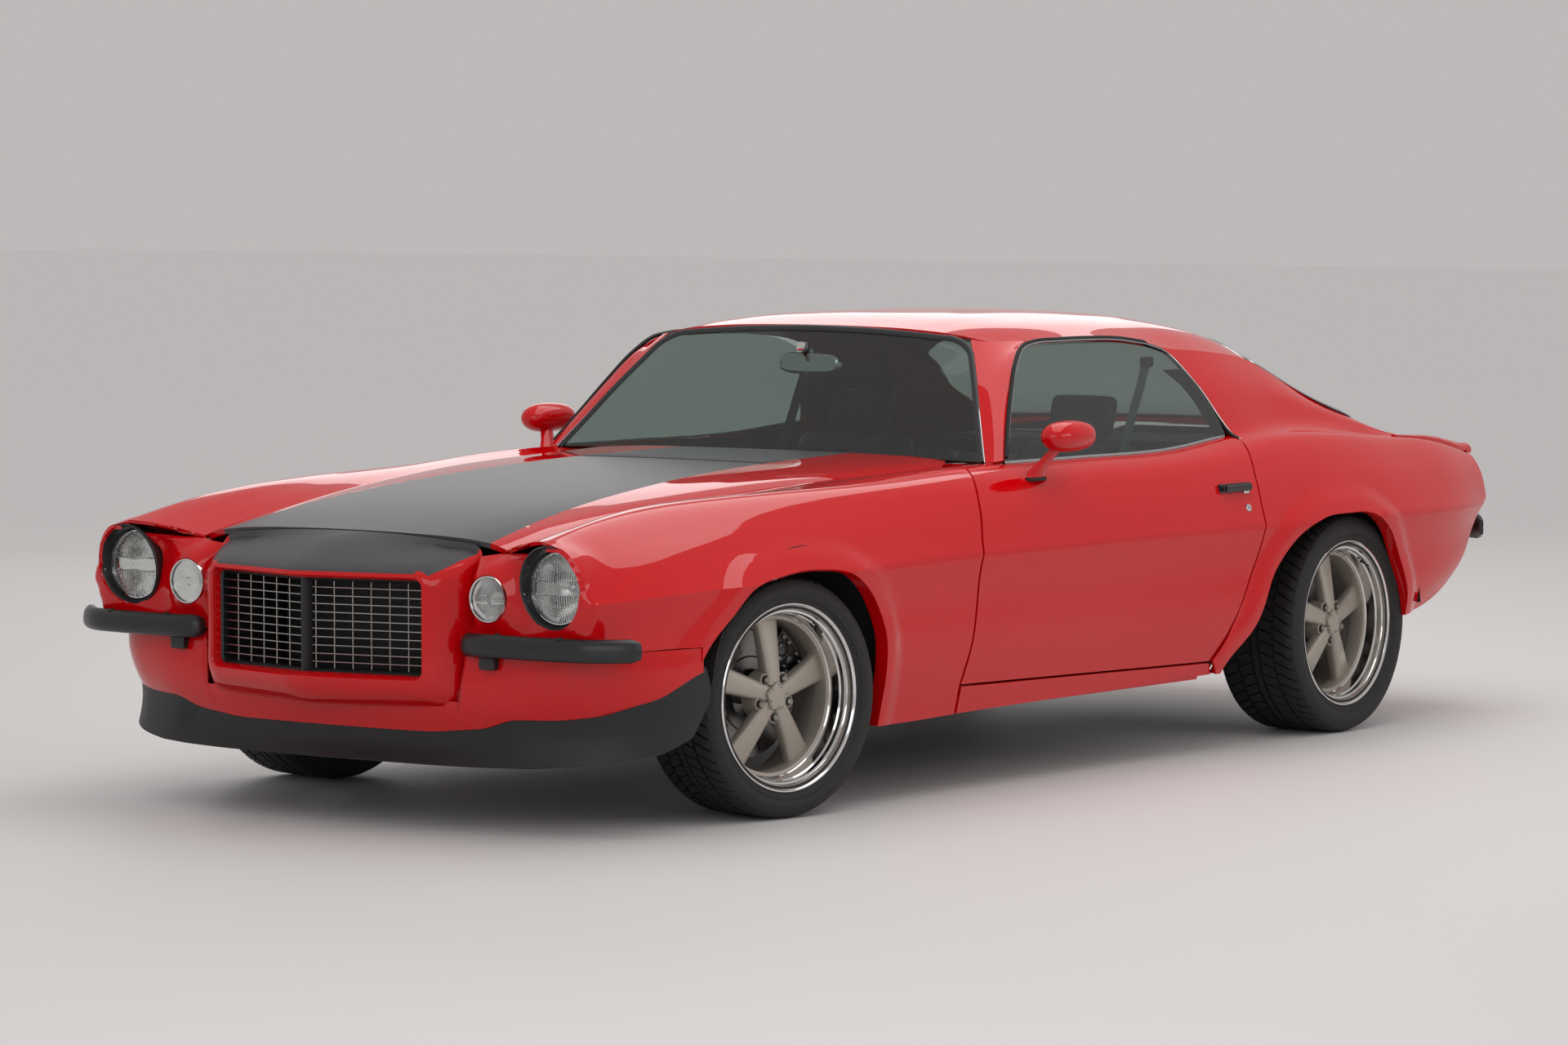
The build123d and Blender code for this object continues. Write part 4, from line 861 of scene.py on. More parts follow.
def make_header():
    """The lamp panel between the grille surround and the headlamp bezel."""
    seam = BROW_SEAM[BROW_SEAM[:, 0] < 640][:, ::2] - (0, 4)
    bezel = ellipse((LAMP_X, LAMP_Z), 98, 104, 128, 270)
    low = straight([bezel[-1], (LAMP_X, 478), (430, 478), (430, 700), seam[-1]])[1:-1]
    turn = ellipse((TURN_X, TURN_Z), TURN_R + 1, TURN_R + 1, 0, 352, 5)
    return thick(nose_panel(np.vstack([seam, bezel, low]), turn), 6.0, (0, -1, 0))


def make_nose_cheek():
    """The fender's own turn inward round the outside of the bezel."""
    edge = NOSE_EDGE[:, ::2]
    bezel = ellipse((LAMP_X, LAMP_Z), 98, 104, 88, -90)
    foot = straight([(LAMP_X, 478), (edge[0][0] - 2, 480)])
    cheek = nose_panel(np.vstack([edge, bezel, foot]))
    away = np.linalg.norm(cheek.points[:, None, ::2] - edge[None], axis=2)
    near = away.min(1) < 0.3
    cheek.points[near] = NOSE_EDGE[away.argmin(1)[near]]
    return cheek


def bowl(x, z, y, radius, depth, finish):
    """A reflector bowl, open towards the front."""
    steps = np.linspace(0, 1, 9)
    profile = [(depth * (1 - t * t), radius * t) for t in steps[1:]]
    return turned(profile, (x, y, z), (0, 1, 0), 64, finish)


def lens(x, z, y, radius, rise, flutes, finish):
    """A domed lens; its back carries upright flutes of the given pitch."""
    radii = np.concatenate([[0.02 * radius], np.linspace(0.08, 1, 26) * radius])
    angle = full_turn(180)
    front, back = [], []
    for r in radii:
        dome = y - rise * (1 - (r / radius) ** 2)
        px, pz = r * np.cos(angle), r * np.sin(angle)
        front.append(np.column_stack([x + px, np.full(180, dome), z + pz]))
        groove = 0.9 * np.cos(2 * math.pi * px / flutes) * (np.abs(pz) > 0.16 * radius)
        back.append(np.column_stack([x + px, dome + 4.0 + groove, z + pz]))
    return tube(front[::-1] + back, finish)


def bezel_ring(x, z, sizes, finish=0, steps=96):
    """Closed loops round a lamp: half width, half height, y at the lamp's middle, lean of y over z."""
    angle = full_turn(steps)
    rows = []
    for a, b, y, lean in sizes:
        px, pz = a * np.cos(angle), b * np.sin(angle)
        rows.append(np.column_stack([x + px, y - lean * pz, z + pz]))
    return skin(rows, round_rows=True, joined=True, finish=finish)


def make_bezel():
    rings = [(95, 101, -2172, 0), (96, 102, -2196, 0.1), (102, 109, -2215, 0.15),
             (102.5, 109.5, -2221, 0.15), (99, 106, -2226, 0.15), (95.5, 102.5, -2223, 0.15),
             (93, 96, -2204, 0.05), (91, 92, -2192, 0), (91, 92, -2176, 0)]
    bezel = bezel_ring(LAMP_X, LAMP_Z, rings)
    for angle in (100, 190, 350):
        c, s = around(angle)
        bezel += turned([(0, 0.3), (0, 3.2), (2, 2.8), (2.6, 0.3)],
                        (LAMP_X + 96 * c, -2214, LAMP_Z + 98 * s), (-c * 0.6, -1, -s * 0.6), 12, 1)
    return bezel


def make_headlamp():
    glass = lens(LAMP_X, LAMP_Z, -2192, 88, 13, 7.0, 0)
    rings = [(91.5, -2184), (91.5, -2193), (90, -2196), (87.5, -2196), (86.5, -2193), (86.5, -2184)]
    ring = bezel_ring(LAMP_X, LAMP_Z, [(r, r, y, 0) for r, y in rings], 1)
    cap = turned([(0, 15), (9, 14), (15, 8), (17, 0.5)], (LAMP_X, -2140, LAMP_Z), (0, -1, 0), 24, 1)
    return glass + ring + bowl(LAMP_X, LAMP_Z, -2184, 86, 66, 2) + cap


def make_turn_lamp():
    glass = lens(TURN_X, TURN_Z, -2220, TURN_R - 4, 9, 400.0, 0)
    rings = [(0, -2196), (0, -2221), (2, -2225), (4.5, -2224), (5, -2218), (5, -2196)]
    ring = bezel_ring(TURN_X, TURN_Z, [(TURN_R - inset, TURN_R - inset, y, 0) for inset, y in rings], 1)
    bulb = turned([(0, 7), (10, 9), (20, 9.5), (28, 6), (31, 0.5)],
                  (TURN_X - 4, -2180, TURN_Z - 8), (0, -1, 0), 24, 1)
    rings = [(34, -2190), (34, -2204), (31, -2204), (31, -2190)]
    inner = bezel_ring(TURN_X, TURN_Z, [(r, r, y, 0) for r, y in rings], 2)
    return glass + ring + bowl(TURN_X, TURN_Z, -2214, TURN_R - 5, 40, 2) + bulb + inner


def prow(x, tip, back=0.24):
    """The pointed plan of the nose: straight from its tip outwards."""
    return tip + back * np.abs(x)


def frame_loop(half, low, top, corner):
    """A rounded rectangle in the front view: eight points a corner, and a point at x = 0."""
    along = np.linspace(half - corner, corner - half, 15)[1:-1]
    down = np.linspace(top - corner, low + corner, 7)[1:-1]
    right, left = half - corner, corner - half
    corners = ((right, top - corner, [(x, top) for x in along]),
               (left, top - corner, [(-half, z) for z in down]),
               (left, low + corner, [(x, low) for x in along[::-1]]),
               (right, low + corner, [(half, z) for z in down[::-1]]))
    points = []
    for k, (x, z, side) in enumerate(corners):
        points += ellipse((x, z), corner, corner, 90 * k, 90 * k + 90, corner * 1.57 / 7).tolist()[:8] + side
    return np.array(points)


def make_surround():
    """The pointed nose piece round the grille, its top in the stripe's colour."""
    # half width, low, top, corner, then how far each side stands back from the prow line
    loops = [(346, 402, 639, 16, 46, 46, 46), (352, 396, 645, 20, 6, 6, 6), (357, 391, 650, 24, 0, 0, 0),
             (366, 382, 660, 32, 0, 1, 2), (380, 366, 668, 42, 8, 6, 10), (402, 344, 686, 52, 32, 20, 48),
             (422, 326, 708, 54, 66, 46, 100), (434, 316, 730, 46, 104, 78, 152),
             (436, 312, 749, 34, 150, 120, 229)]
    rows, upward = [], []
    for half, low, top, corner, side, under, over in loops:
        loop = frame_loop(half, low, top, corner)
        x, z = loop.T
        ahead = np.roll(loop, -1, 0) - np.roll(loop, 1, 0)
        across, up = ahead[:, 1] ** 2, -ahead[:, 0]
        share_top, share_low = [np.maximum(way * up, 0) ** 2 / (across + up ** 2) for way in (1, -1)]
        back = side * across / (across + up ** 2) + over * share_top + under * share_low
        bowed = z - 0.00011 * x ** 2 * np.clip((z - 690) / 50, 0, 1)
        rows.append(np.column_stack([x, np.minimum(prow(x, -2384) + back, -2153), bowed]))
        upward.append(share_top)
    shape = skin(rows, round_rows=True)
    upward = np.concatenate(upward)
    faces = np.array(shape.faces)
    on_top = (shape.points[faces, 2].mean(1) > 663.5) & (upward[faces].mean(1) > 0.5)
    return thick(shape.paint(on_top.astype(int).tolist()), 5.0, (0, -1, 0))


def wire(a, b, radius, finish):
    """A drawn wire between two points."""
    a, b = Vector(a), Vector(b)
    rows = [[(d, x, z) for x, z in oval(2 * radius, 2 * radius, 8)] for d in (0, (b - a).length)]
    return tube(rows, finish).moved(facing(a, b - a))


def make_grille():
    """Two leaves of thin wires that meet at a pointed black bar, in a black frame."""
    y_at = lambda x: -2322 + 0.19 * abs(x)
    low, top = GRILLE_LOW + 4, GRILLE_TOP - 4
    leaf = Shape()
    for z in np.linspace(low + 6, top - 6, 12):
        leaf += wire((13, y_at(13) - 3, z), (HALF_GRILLE - 5, y_at(HALF_GRILLE) - 3, z), 1.7, 0)
    for x in np.linspace(22, HALF_GRILLE - 12, 7):
        leaf += wire((x, y_at(x), low), (x, y_at(x), top), 1.9, 0)
    section = [(-14, -2304), (-14, -2328), (-4, -2346), (4, -2346), (14, -2328), (14, -2304)]
    bar = tube([[(x, y, z) for x, y in section] for z in (low, top)], 1)
    rows = []
    for half, low_z, top_z, corner, back in ((352, 396, 645, 18, 22), (342, 406, 635, 12, 30),
                                             (338, 410, 631, 10, 44), (338, 410, 631, 10, 62),
                                             (352, 396, 645, 18, 62)):
        loop = frame_loop(half, low_z, top_z, corner)
        rows.append(np.column_stack([loop[:, 0], prow(loop[:, 0], -2368, 0.21) + back, loop[:, 1]]))
    return both(leaf) + bar + skin(rows, round_rows=True, joined=True, finish=1)


# plan lines of the lower nose, (x, y), from the middle to the wheel arch, at each height
VALANCE_PLANS = {
    474: [(0, -2228), (220, -2228), (430, -2224), (640, -2206), (786, -2150), (866, -2040), (902, -1930),
          (915, -1862)],
    400: [(0, -2256), (220, -2254), (430, -2240), (640, -2208), (786, -2146), (868, -2036), (903, -1926),
          (914, -1862)],
    330: [(0, -2262), (220, -2256), (430, -2236), (640, -2192), (772, -2128), (852, -2026), (890, -1922),
          (904, -1862)],
    250: [(0, -2240), (220, -2232), (430, -2206), (620, -2156), (740, -2092), (820, -2000), (862, -1906),
          (884, -1850)]}
VALANCE_FOOT = [(0, 256), (334, 256), (500, 272), (560, 298), (690, 300), (775, 312), (858, 352), (884, 396),
                (912, 444)]
CHIN_PLAN = [(0, -2272), (220, -2264), (420, -2248), (640, -2194), (780, -2114), (866, -2022), (904, -1932),
             (920, -1846)]
VALANCE_STEPS = 120


def plan_points(line):
    """A smooth plan line as VALANCE_STEPS evenly spaced points."""
    line = np.array(line, float)
    run = run_of(line)
    return smooth(run, line, np.linspace(0, run[-1], VALANCE_STEPS))


def valance_at(z):
    """Points of the valance, each at its own height."""
    levels = sorted(VALANCE_PLANS)
    stack = np.stack([plan_points(VALANCE_PLANS[level]) for level in levels], 1)
    return np.column_stack([smooth(levels, stack, z), z])


def valance_foot():
    """Half widths across the valance, and the height of its foot there."""
    x = valance_at(np.full(VALANCE_STEPS, 300.0))[:, 0]
    return x, np.interp(x, *np.array(VALANCE_FOOT, float).T)


def make_valance():
    x, foot = valance_foot()
    foot = np.convolve(np.pad(foot, 3, "edge"), np.ones(7) / 7, "valid")
    head = np.where(x < 416, 338.0, 474.0)
    rows = [valance_at(head + t * (foot - head)) for t in np.linspace(0, 1, 20)]
    half = skin(rows + [rows[-1] + (0, 14, -3)])
    half.points[:, :1] = np.maximum(half.points[:, :1], 0)
    # two small black discs a side: painted shade standing in for holes in the valance
    holes = Shape()
    for spot in ((590, -2204, 372), (668, -2184, 372)):
        holes += turned([(0, 5.5), (1.5, 5), (1.5, 0.4)], spot, (0.35, -1, 0), 16, 1)
    return thick(welded(both(half), 0.4), 5.0, (0, -1, 0)) + both(holes)


def make_chin():
    """The chin spoiler: a slightly hollow sheet from behind the valance's foot down to its own edge."""
    top = valance_at(valance_foot()[1] + 8) + (0, 8, 0)
    plan = plan_points(CHIN_PLAN)
    low_z = np.interp(plan[:, 1], [-2272, -2200, -1993, -1900, -1846], [179, 180, 212, 250, 330])
    low = np.column_stack([plan, low_z])
    rows = [top + t * (low - top) + (0, 12 * math.sin(math.pi * t), 0) for t in np.linspace(0, 1, 12)]
    return thick(welded(both(skin(rows)), 0.4), 7.0, (0, -1, 0))


def make_bumper():
    """One front bumper: a rolled blade with rounded ends, on its stay, with two bolt heads."""
    path = curved([(448, -2226), (458, -2240), (490, -2249), (600, -2251), (720, -2247), (840, -2222),
                   (905, -2172), (930, -2138)], 12.0)
    path = np.column_stack([path, np.full(len(path), 486.0)])
    section = curved([(-11, -24), (8, -29), (17, -20), (19, 0), (15, 18), (4, 29), (-9, 28), (-13, 0)], 6.0,
                     closed=True)
    run = np.linspace(0, 1, len(path))
    blade = swept(path, section, scale=np.minimum(1, 0.72 + 8 * np.minimum(run, 1 - run)))
    blade += block((500, -2248, 424), (548, -2222, 462), 5.0)
    for x in (560, 760):
        blade += turned([(0, 9), (3, 8.5), (5, 6), (6, 0.5)], (x, -2246, 513), (0, -0.2, 1), 20)
    return blade


fender = thick(welded(aimed(fender, (1, 0, 0.4)) + aimed(make_nose_cheek(), (0, -1, 0)), 0.4))
fender += thick(fender_flange, 2.0, (0, 0, -1))
for word, side in SIDES:
    piece("front_fender_" + word, fender.hand(side), PAINT, stands_for="fender_" + word)
piece("lamp_panel_paint", both(make_header()), PAINT, stands_for="lamp_panel")
piece("grille_surround_paint", make_surround(), [PAINT, STRIPE], stands_for="grille_surround")
piece("grille_crate", make_grille(), [WIRE, POWDER], stands_for="grille")
piece("headlamp_bezels", both(make_bezel()), [POWDER, STEEL],
      stands_for="lamp_buckets")
piece("headlamp_units", both(make_headlamp()), [LENS, CHROME, SILVERED],
      stands_for="headlamps")
piece("turn_lamp_units", both(make_turn_lamp()), [LENS, CHROME, SILVERED],
      stands_for="turn_lamps")
piece("lower_valance", make_valance(), [PAINT, PLASTIC], stands_for="front_valance")
piece("chin_spoiler_blade", make_chin(), PLASTIC, stands_for="chin_spoiler")
piece("front_bumper_blades", both(make_bumper()), POWDER, stands_for="front_bumpers")


# ---------------------------------------------------------------- wheels, about +X with the outer face ahead
def make_tyre(size):
    """Carcass with ridged sidewalls and raised tread blocks between swept grooves."""
    w, r, bead = size["tyre"] / 2, size["radius"], size["rim"] / 2 - 6
    deep, pitches = 7.0, 58   # tread depth, and tread blocks round each shoulder
    wall = curved([(bead, BEAD_R + 1), (bead + 5, FLANGE_R + 5), (w - 3, FLANGE_R + 20), (w, r - 32),
                   (w - 4, r - 20), (w - 12, r - 9), (w - 22, r - deep - 1)], 5.0)
    ridge = [(w - 4.2, FLANGE_R + 12.5), (w - 2.2, FLANGE_R + 14), (w - 2.6, FLANGE_R + 17)]
    outer = [tuple(p) for p in wall if p[1] < FLANGE_R + 11] + ridge
    outer += [tuple(p) for p in wall if p[1] > FLANGE_R + 19]
    inner = [(-x, radius) for x, radius in outer[::-1]]
    crown = [(0.6 * w, r - deep - 0.5), (0, r - deep), (-0.6 * w, r - deep - 0.5)]
    hollow = [(-w + 14, r - 40), (-w + 12, BEAD_R + 30), (-bead + 8, BEAD_R + 2), (bead - 8, BEAD_R + 2),
              (w - 12, BEAD_R + 30), (w - 14, r - 40)]
    tyre = lathe(outer + crown + inner + hollow, 96, closed=True)
    pitch = 2 * math.pi / pitches
    half = w - 9
    rib = 0.075 * half

    def tread_block(side, k, start, end, lead, share, count):
        """One block, swept back from `start` to `end` of the tread's half width."""
        rows = []
        for v in np.linspace(start, end, count):
            sweep = (k + lead + 1.5 * v ** 1.4) * pitch
            top = r - 1.2 * v ** 2 - 9.0 * max(v - 0.82, 0) ** 1.5 / 0.18 ** 1.5
            base = min(top - 1.0, r - deep - 1.5)
            rows.append([(side * v * half, radius * math.cos(a), radius * math.sin(a))
                         for a, radius in ((sweep, base), (sweep, top),
                                           (sweep + share * pitch, top), (sweep + share * pitch, base))])
        return tube(rows)

    blocks = [lathe([(-rib, r - deep - 1), (-rib, r), (rib, r), (rib, r - deep - 1)], 120, closed=True)]
    for k in range(pitches):
        for side in (1, -1):
            blocks.append(tread_block(side, k, 0.13, 0.46, 0.0, 0.86, 5))
            blocks.append(tread_block(side, k, 0.53, 1.0, 0.35, 0.82, 7))
    return together([tyre] + blocks)


def make_wheel(size):
    """Polished stepped rim, five cast spokes, plain five-sided cap, lugs, valve and brake disc."""
    w = size["rim"] / 2
    face = w - SPOKE_INSET
    rim_out = [(w, FLANGE_R - 2), (w - 2, FLANGE_R), (w - 6, FLANGE_R), (w - 7, FLANGE_R - 6)]
    rim_face = [(w, FLANGE_R - 5), (w - 5, FLANGE_R - 9), (w - 8, 231), (w - 15, 229), (w - 19, 226),
                (w - 20, 221), (w - 30, 219), (w - 34, 215), (w - 62, 212.5), (w - 66, 209)]
    barrel_in = [(0, 204), (-w + 60, 203), (-w + 14, 222), (-w + 8, 233), (-w + 2, 240)]
    barrel_out = [(-w, FLANGE_R - 2), (-w + 2, FLANGE_R), (-w + 6, FLANGE_R), (-w + 7, BEAD_R),
                  (-w + 60, 210), (w - 70, 214), (w - 45, BEAD_R), (w - 7, BEAD_R)]
    wheel = lathe(rim_face[::-1] + rim_out, 128, 1)
    wheel += lathe(rim_out[-1:] + barrel_out[::-1] + barrel_in[::-1] + [(w - 66, 209)], 128)
    wheel += lathe([(w - 66, 209), (w - 64, 208), (w - 66, 200), (w - 78, 197), (w - 112, 198),
                    (w - 118, 205)], 128)
    # radius, front ridge, back, width
    table = [(30, face + 1, face - 44, 46), (62, face - 2, face - 46, 50), (110, face - 10, face - 50, 58),
             (160, face - 20, face - 58, 68), (192, face - 27, face - 64, 78),
             (206, face - 28, face - 66, 92)]
    spoke_rows = []
    for radius, front, back, width in table:
        outline = oval(front - back, width, 20, 3.4) + ((front + back) / 2, 0)
        spoke_rows.append([(x, t, radius) for x, t in outline])
    for k in range(5):
        wheel += tube(spoke_rows).moved(tipped(72 * k))
    wheel += lathe([(face - 62, 66), (face - 22, 67), (face - 15, 64), (face - 11, 56), (face - 10, 20),
                    (face - 10, 1)], 60)
    for k in range(5):
        well = lathe([(face - 24, 13), (face - 7, 13), (face - 6, 14), (face - 7, 16), (face - 14, 17)], 28)
        # the well's floor, 2 mm below its mouth, in gloss black: painted shade standing in for the dark depth
        # of the lug bore round the nut
        floor = lathe([(face - 9, 13), (face - 9.5, 0.5)], 28, 4)
        nut = lathe([(face - 10, 9.2), (face + 1, 9.2), (face + 4, 6.5), (face + 4, 0.5)], 6, 3)
        wheel += (well + floor + nut).moved(tipped(72 * k + 36) @ Matrix.Translation((0, 0, 55)))
    corners = np.radians(np.arange(0, 360, 7.2))
    five = 35 * (1 + 0.09 * np.cos(5 * corners))
    rows = [[(x, k * r * math.sin(a), k * r * math.cos(a)) for a, r in zip(corners, five)]
            for x, k in ((face - 12, 1.0), (face + 5, 1.0), (face + 8, 0.96), (face + 8.5, 0.9),
                         (face + 8.5, 0.02))]
    wheel += skin(rows, round_rows=True)
    for k in range(10):
        stud = lathe([(face + 8, 3), (face + 10, 2.7), (face + 10.8, 0.3)], 10, 3)
        reach, turn = ((31.5, 7), (27.5, -7))[k % 2]
        c, s = around(36 * k + turn)
        wheel += stud.moved(Matrix.Translation((0, reach * s, reach * c)))
    stem = lathe([(0, 6), (6, 5), (8, 3.6), (26, 3.4), (27, 4), (33, 4), (34, 0.5)], 16, 4)
    wheel += stem.moved(facing((w - 26, 214 * math.sin(0.6), 214 * math.cos(0.6)), (1, -0.3, -0.5)))
    disc = lathe([(face - 128, 64), (face - 128, DISC_R), (face - 118, DISC_R), (face - 118, DISC_R - 6),
                  (face - 110, DISC_R - 6), (face - 110, DISC_R), (face - 100, DISC_R), (face - 100, 100),
                  (face - 96, 96), (face - 96, 66)], 96, 2, closed=True)
    wheel += disc
    # the disc's slots as thin gloss-black strips standing just proud of its face: painted shade standing in
    # for cut grooves
    for k in range(12):
        slot = block((face - 100.6, -3, 108), (face - 99.6, 3, 158), 0.4, 4)
        wheel += slot.moved(tipped(30 * k) @ Matrix.Rotation(0.25, 4, "X"))
    return wheel


def make_caliper():
    """Four-pot caliper over a front disc, with its bolts."""
    face = FRONT_WHEEL["rim"] / 2 - SPOKE_INSET
    section = [(face - 154, 106), (face - 154, 182), (face - 146, 191), (face - 82, 191), (face - 74, 182),
               (face - 74, 106), (face - 93, 104), (face - 93, 171), (face - 135, 171), (face - 135, 104)]
    caliper = tube([[(x, r * math.cos(a), r * math.sin(a)) for x, r in section]
                    for a in np.radians(np.linspace(20, 60, 13))])
    for angle in (25, 33, 47, 55):
        c, s = around(angle)
        for radius in (122, 176):
            caliper += turned([(0, 7), (6, 7), (8, 5), (8, 0.5)],
                              (face - 75, radius * c, radius * s), (1, 0, 0), 6, 1)
    for angle in (31, 49):
        c, s = around(angle)
        caliper += turned([(0, 20), (5, 19), (7, 15), (7, 0.5)], (face - 75, 148 * c, 148 * s), (1, 0, 0))
    return caliper


def front_place(side):
    """Where a front wheel's middle is, steered as the car stands; shapes are made for the left side."""
    pivot = Vector((side * KINGPIN_X, FRONT_AXLE_Y, 0))
    turn = Matrix.Rotation(math.radians(STEER_AT_REST), 4, "Z")
    return Matrix.Translation(pivot) @ turn @ Matrix.Translation(-pivot)


def on_front(shape, side):
    spot = Matrix.Translation((FRONT_WHEEL_X, FRONT_AXLE_Y, FRONT_WHEEL["radius"]))
    return shape.moved(spot).hand(side).moved(front_place(side))


def on_rear(shape, side):
    return shape.moved(Matrix.Translation((REAR_WHEEL_X, REAR_AXLE_Y, REAR_WHEEL["radius"]))).hand(side)


# the last, gloss black, is the valve stem's own black, and painted shade in the lug wells and the disc's
# slots
WHEEL_FINISHES = [CAST, POLISHED, IRON, STEEL, GLOSS_BLACK]
CORNERS = {"front": (make_wheel(FRONT_WHEEL), make_tyre(FRONT_WHEEL), on_front),
           "rear": (make_wheel(REAR_WHEEL), make_tyre(REAR_WHEEL), on_rear)}
for end, letter in (("front", "f"), ("rear", "r")):
    wheel_shape, tyre_shape, put = CORNERS[end]
    for word, side in SIDES:
        corner = letter + word[0]
        piece(f"alloy_wheel_{end}_{word}", put(wheel_shape, side), WHEEL_FINISHES, body="wheel_" + corner,
              stands_for="wheel_" + corner, sharp=32)
        piece(f"road_tyre_{end}_{word}", put(tyre_shape, side), RUBBER, body="wheel_" + corner,
              stands_for="tyre_" + corner, sharp=32)
for word, side in SIDES:
    piece("brake_caliper_" + word, on_front(make_caliper(), side), [GLOSS_BLACK, STEEL],
          body="knuckle_" + word)


# ---------------------------------------------------------------- pillars, glass and mouldings
def evenly(points, count):
    """A smooth line through the points, as `count` evenly spaced points."""
    line = curved(points, 4.0)
    run = run_of(line)
    at = np.linspace(0, run[-1], count)
    return np.stack([np.interp(at, run, line[:, k]) for k in range(line.shape[1])], 1)


SCREEN_STEPS = 60
SCREEN_SIDE = evenly([(752, -388, 870), (704, -334, 944), (650, -272, 1030), (592, -206, 1115),
                      (533, -143, 1197)], SCREEN_STEPS + 1)
SCREEN_MIDDLE = evenly([(0, -390, 880), (0, -335, 968), (0, -275, 1061), (0, -212, 1149),
                        (0, -155, 1226)], SCREEN_STEPS + 1)


def screen_at(u, t):
    """Points of the windscreen: u runs from -1 to 1 across, t from 0 at the foot to 1 at the roof."""
    u, t = np.broadcast_arrays(np.asarray(u, float), np.asarray(t, float))
    steps = np.arange(SCREEN_STEPS + 1)
    side, middle = [np.stack([np.interp(SCREEN_STEPS * t, steps, line[:, k]) for k in range(3)], 1)
                    for line in (SCREEN_SIDE, SCREEN_MIDDLE)]
    out = middle + (u ** 2)[:, None] * (side - middle)
    out[:, 0] = u * side[:, 0]
    return out


def make_screen():
    rows = [screen_at(np.linspace(-1, 1, 41), t) for t in np.linspace(0, 1, 21)]
    return thick(skin(rows), 5.0, (0, -1, 0.5))


def screen_line(inset):
    """A line round the screen `inset` inside its edge: up one side, over and down the other."""
    t = np.linspace(0, 1 - inset / 420, 20)
    up_side = screen_at(1 - inset / 640, t)[:-2]
    over = screen_at(np.linspace(0.9, 0, 10), t[-1])
    half = np.vstack([up_side, over])
    return curved(np.vstack([half[:-1], half[::-1] * (-1, 1, 1)]), 14.0)


def make_screen_moulding():
    outward = (0, -0.82, 0.57)
    flat = [(-9, -2), (-9, 2), (-4, 5), (5, 5), (9, 2), (9, -2)]
    band = swept(screen_line(9), flat, outward)
    return band + swept(screen_line(0.5), oval(3.5, 7.0, 8), outward, finish=1)


def make_pillar():
    """The windscreen pillar: from the screen's edge over a rounded face back to the side glass."""
    lines = [evenly(line, 26) for line in (
        SCREEN_SIDE[::6],
        [(778, -374, 873), (728, -314, 957), (677, -248, 1044), (623, -178, 1126), (574, -119, 1190)],
        [(791, -362, 877), (745, -296, 964), (698, -226, 1053), (650, -152, 1136), (604, -48, 1191)],
        [(792, -350, 878), (748, -282, 966), (706, -208, 1056), (668, -132, 1136), (640, -60, 1178),
         (629, 40, 1190)])]
    rows = [smooth([0, 1, 2, 3], np.stack(across), np.linspace(0, 3, 10)) for across in zip(*lines)]
    return thick(skin(rows), 10.0, (1, -0.5, 0.3))


GLASS_CURVE = np.polyfit([780, 882, 1030, 1176], [790, 778, 722, 651], 2)


def glass_x(z):
    """How far out the side glass stands at a height."""
    return np.polyval(GLASS_CURVE, z)


def side_sheet(line, x_of_z, gap=22.0):
    """A sheet inside a side-view outline, (y, z), its x given by height."""
    flat, faces = filled([np.asarray(line, float)], gap)
    return Shape(np.column_stack([x_of_z(flat[:, 1]), flat]), faces)


def make_side_glass():
    top = curved([(-333, 864), (-277, 966), (-203, 1056), (-127, 1134), (-62, 1171), (-15, 1178), (120, 1182),
                  (267, 1182), (420, 1176), (562, 1158), (660, 1132)])
    rear = straight([(668, 1124), (736, 1045), (787, 950), (804, 908), (804, 868), (-333, 864)])[:-1]
    return thick(side_sheet(np.vstack([top, rear]), glass_x), 5.0, (1, 0, 0))


def window_edge():
    """The quarter's edge behind the side glass, from the roof down to the belt."""
    y, z = curved(WINDOW_REAR, 12.0).T
    return QUARTER.at(y, QUARTER.level(y, z, SPINE_S, CROWN_S))


def make_window_trim():
    """Black drip moulding over the door glass and its seal down the quarter, with a bright edge."""
    outward = (1, 0, 0.4)
    rail = curved([(795, -349, 884), (752, -279, 970), (711, -204, 1060), (674, -127, 1140), (653, -62, 1180),
                   (646, -8, 1189), (647, 120, 1193), (648, 267, 1193), (649, 420, 1188),
                   (650, 566, 1172)], 14.0)
    edge = window_edge()
    seal = curved(np.vstack([rail[:-1], edge[2:] + (3, -4, 0)]), 12.0)
    bright = curved(np.vstack([rail[4:-1] + (5, 0, -5), edge[2:] + (8, -1, 0)]), 12.0)
    return swept(seal, oval(11, 11, 10, 3.0), outward) + swept(bright, oval(4.5, 4.5, 8), outward, finish=1)


def make_belt_strip():
    y = np.arange(-346.0, 797.0, 16.0)
    return swept(DOOR.at(y, -58.0) + (0, 0, 4), oval(8, 9, 10, 3.0), (0, 0, 1))


def make_cowl():
    """Plenum cover between the bonnet, the fenders and the foot of the screen: black in its middle, body
    colour at its ends.
    """
    half = [(0, -396), (600, -386), (664, -462), (676, -394), (798, -394), (800, -346), (0, -346)]
    loop = straight(half + [(-x, y) for x, y in half[::-1]][1:], 20.0)[:-1]
    flat, faces = filled([loop], 24.0)
    z = 872 - 8 * (flat[:, 0] / 700) ** 2
    cover = thick(Shape(np.column_stack([flat, z]), faces), 4.0, (0, 0, 1))
    cover.finish = [int(abs(cover.points[list(face)][:, 0].mean()) < 640) for face in cover.faces]
    return cover


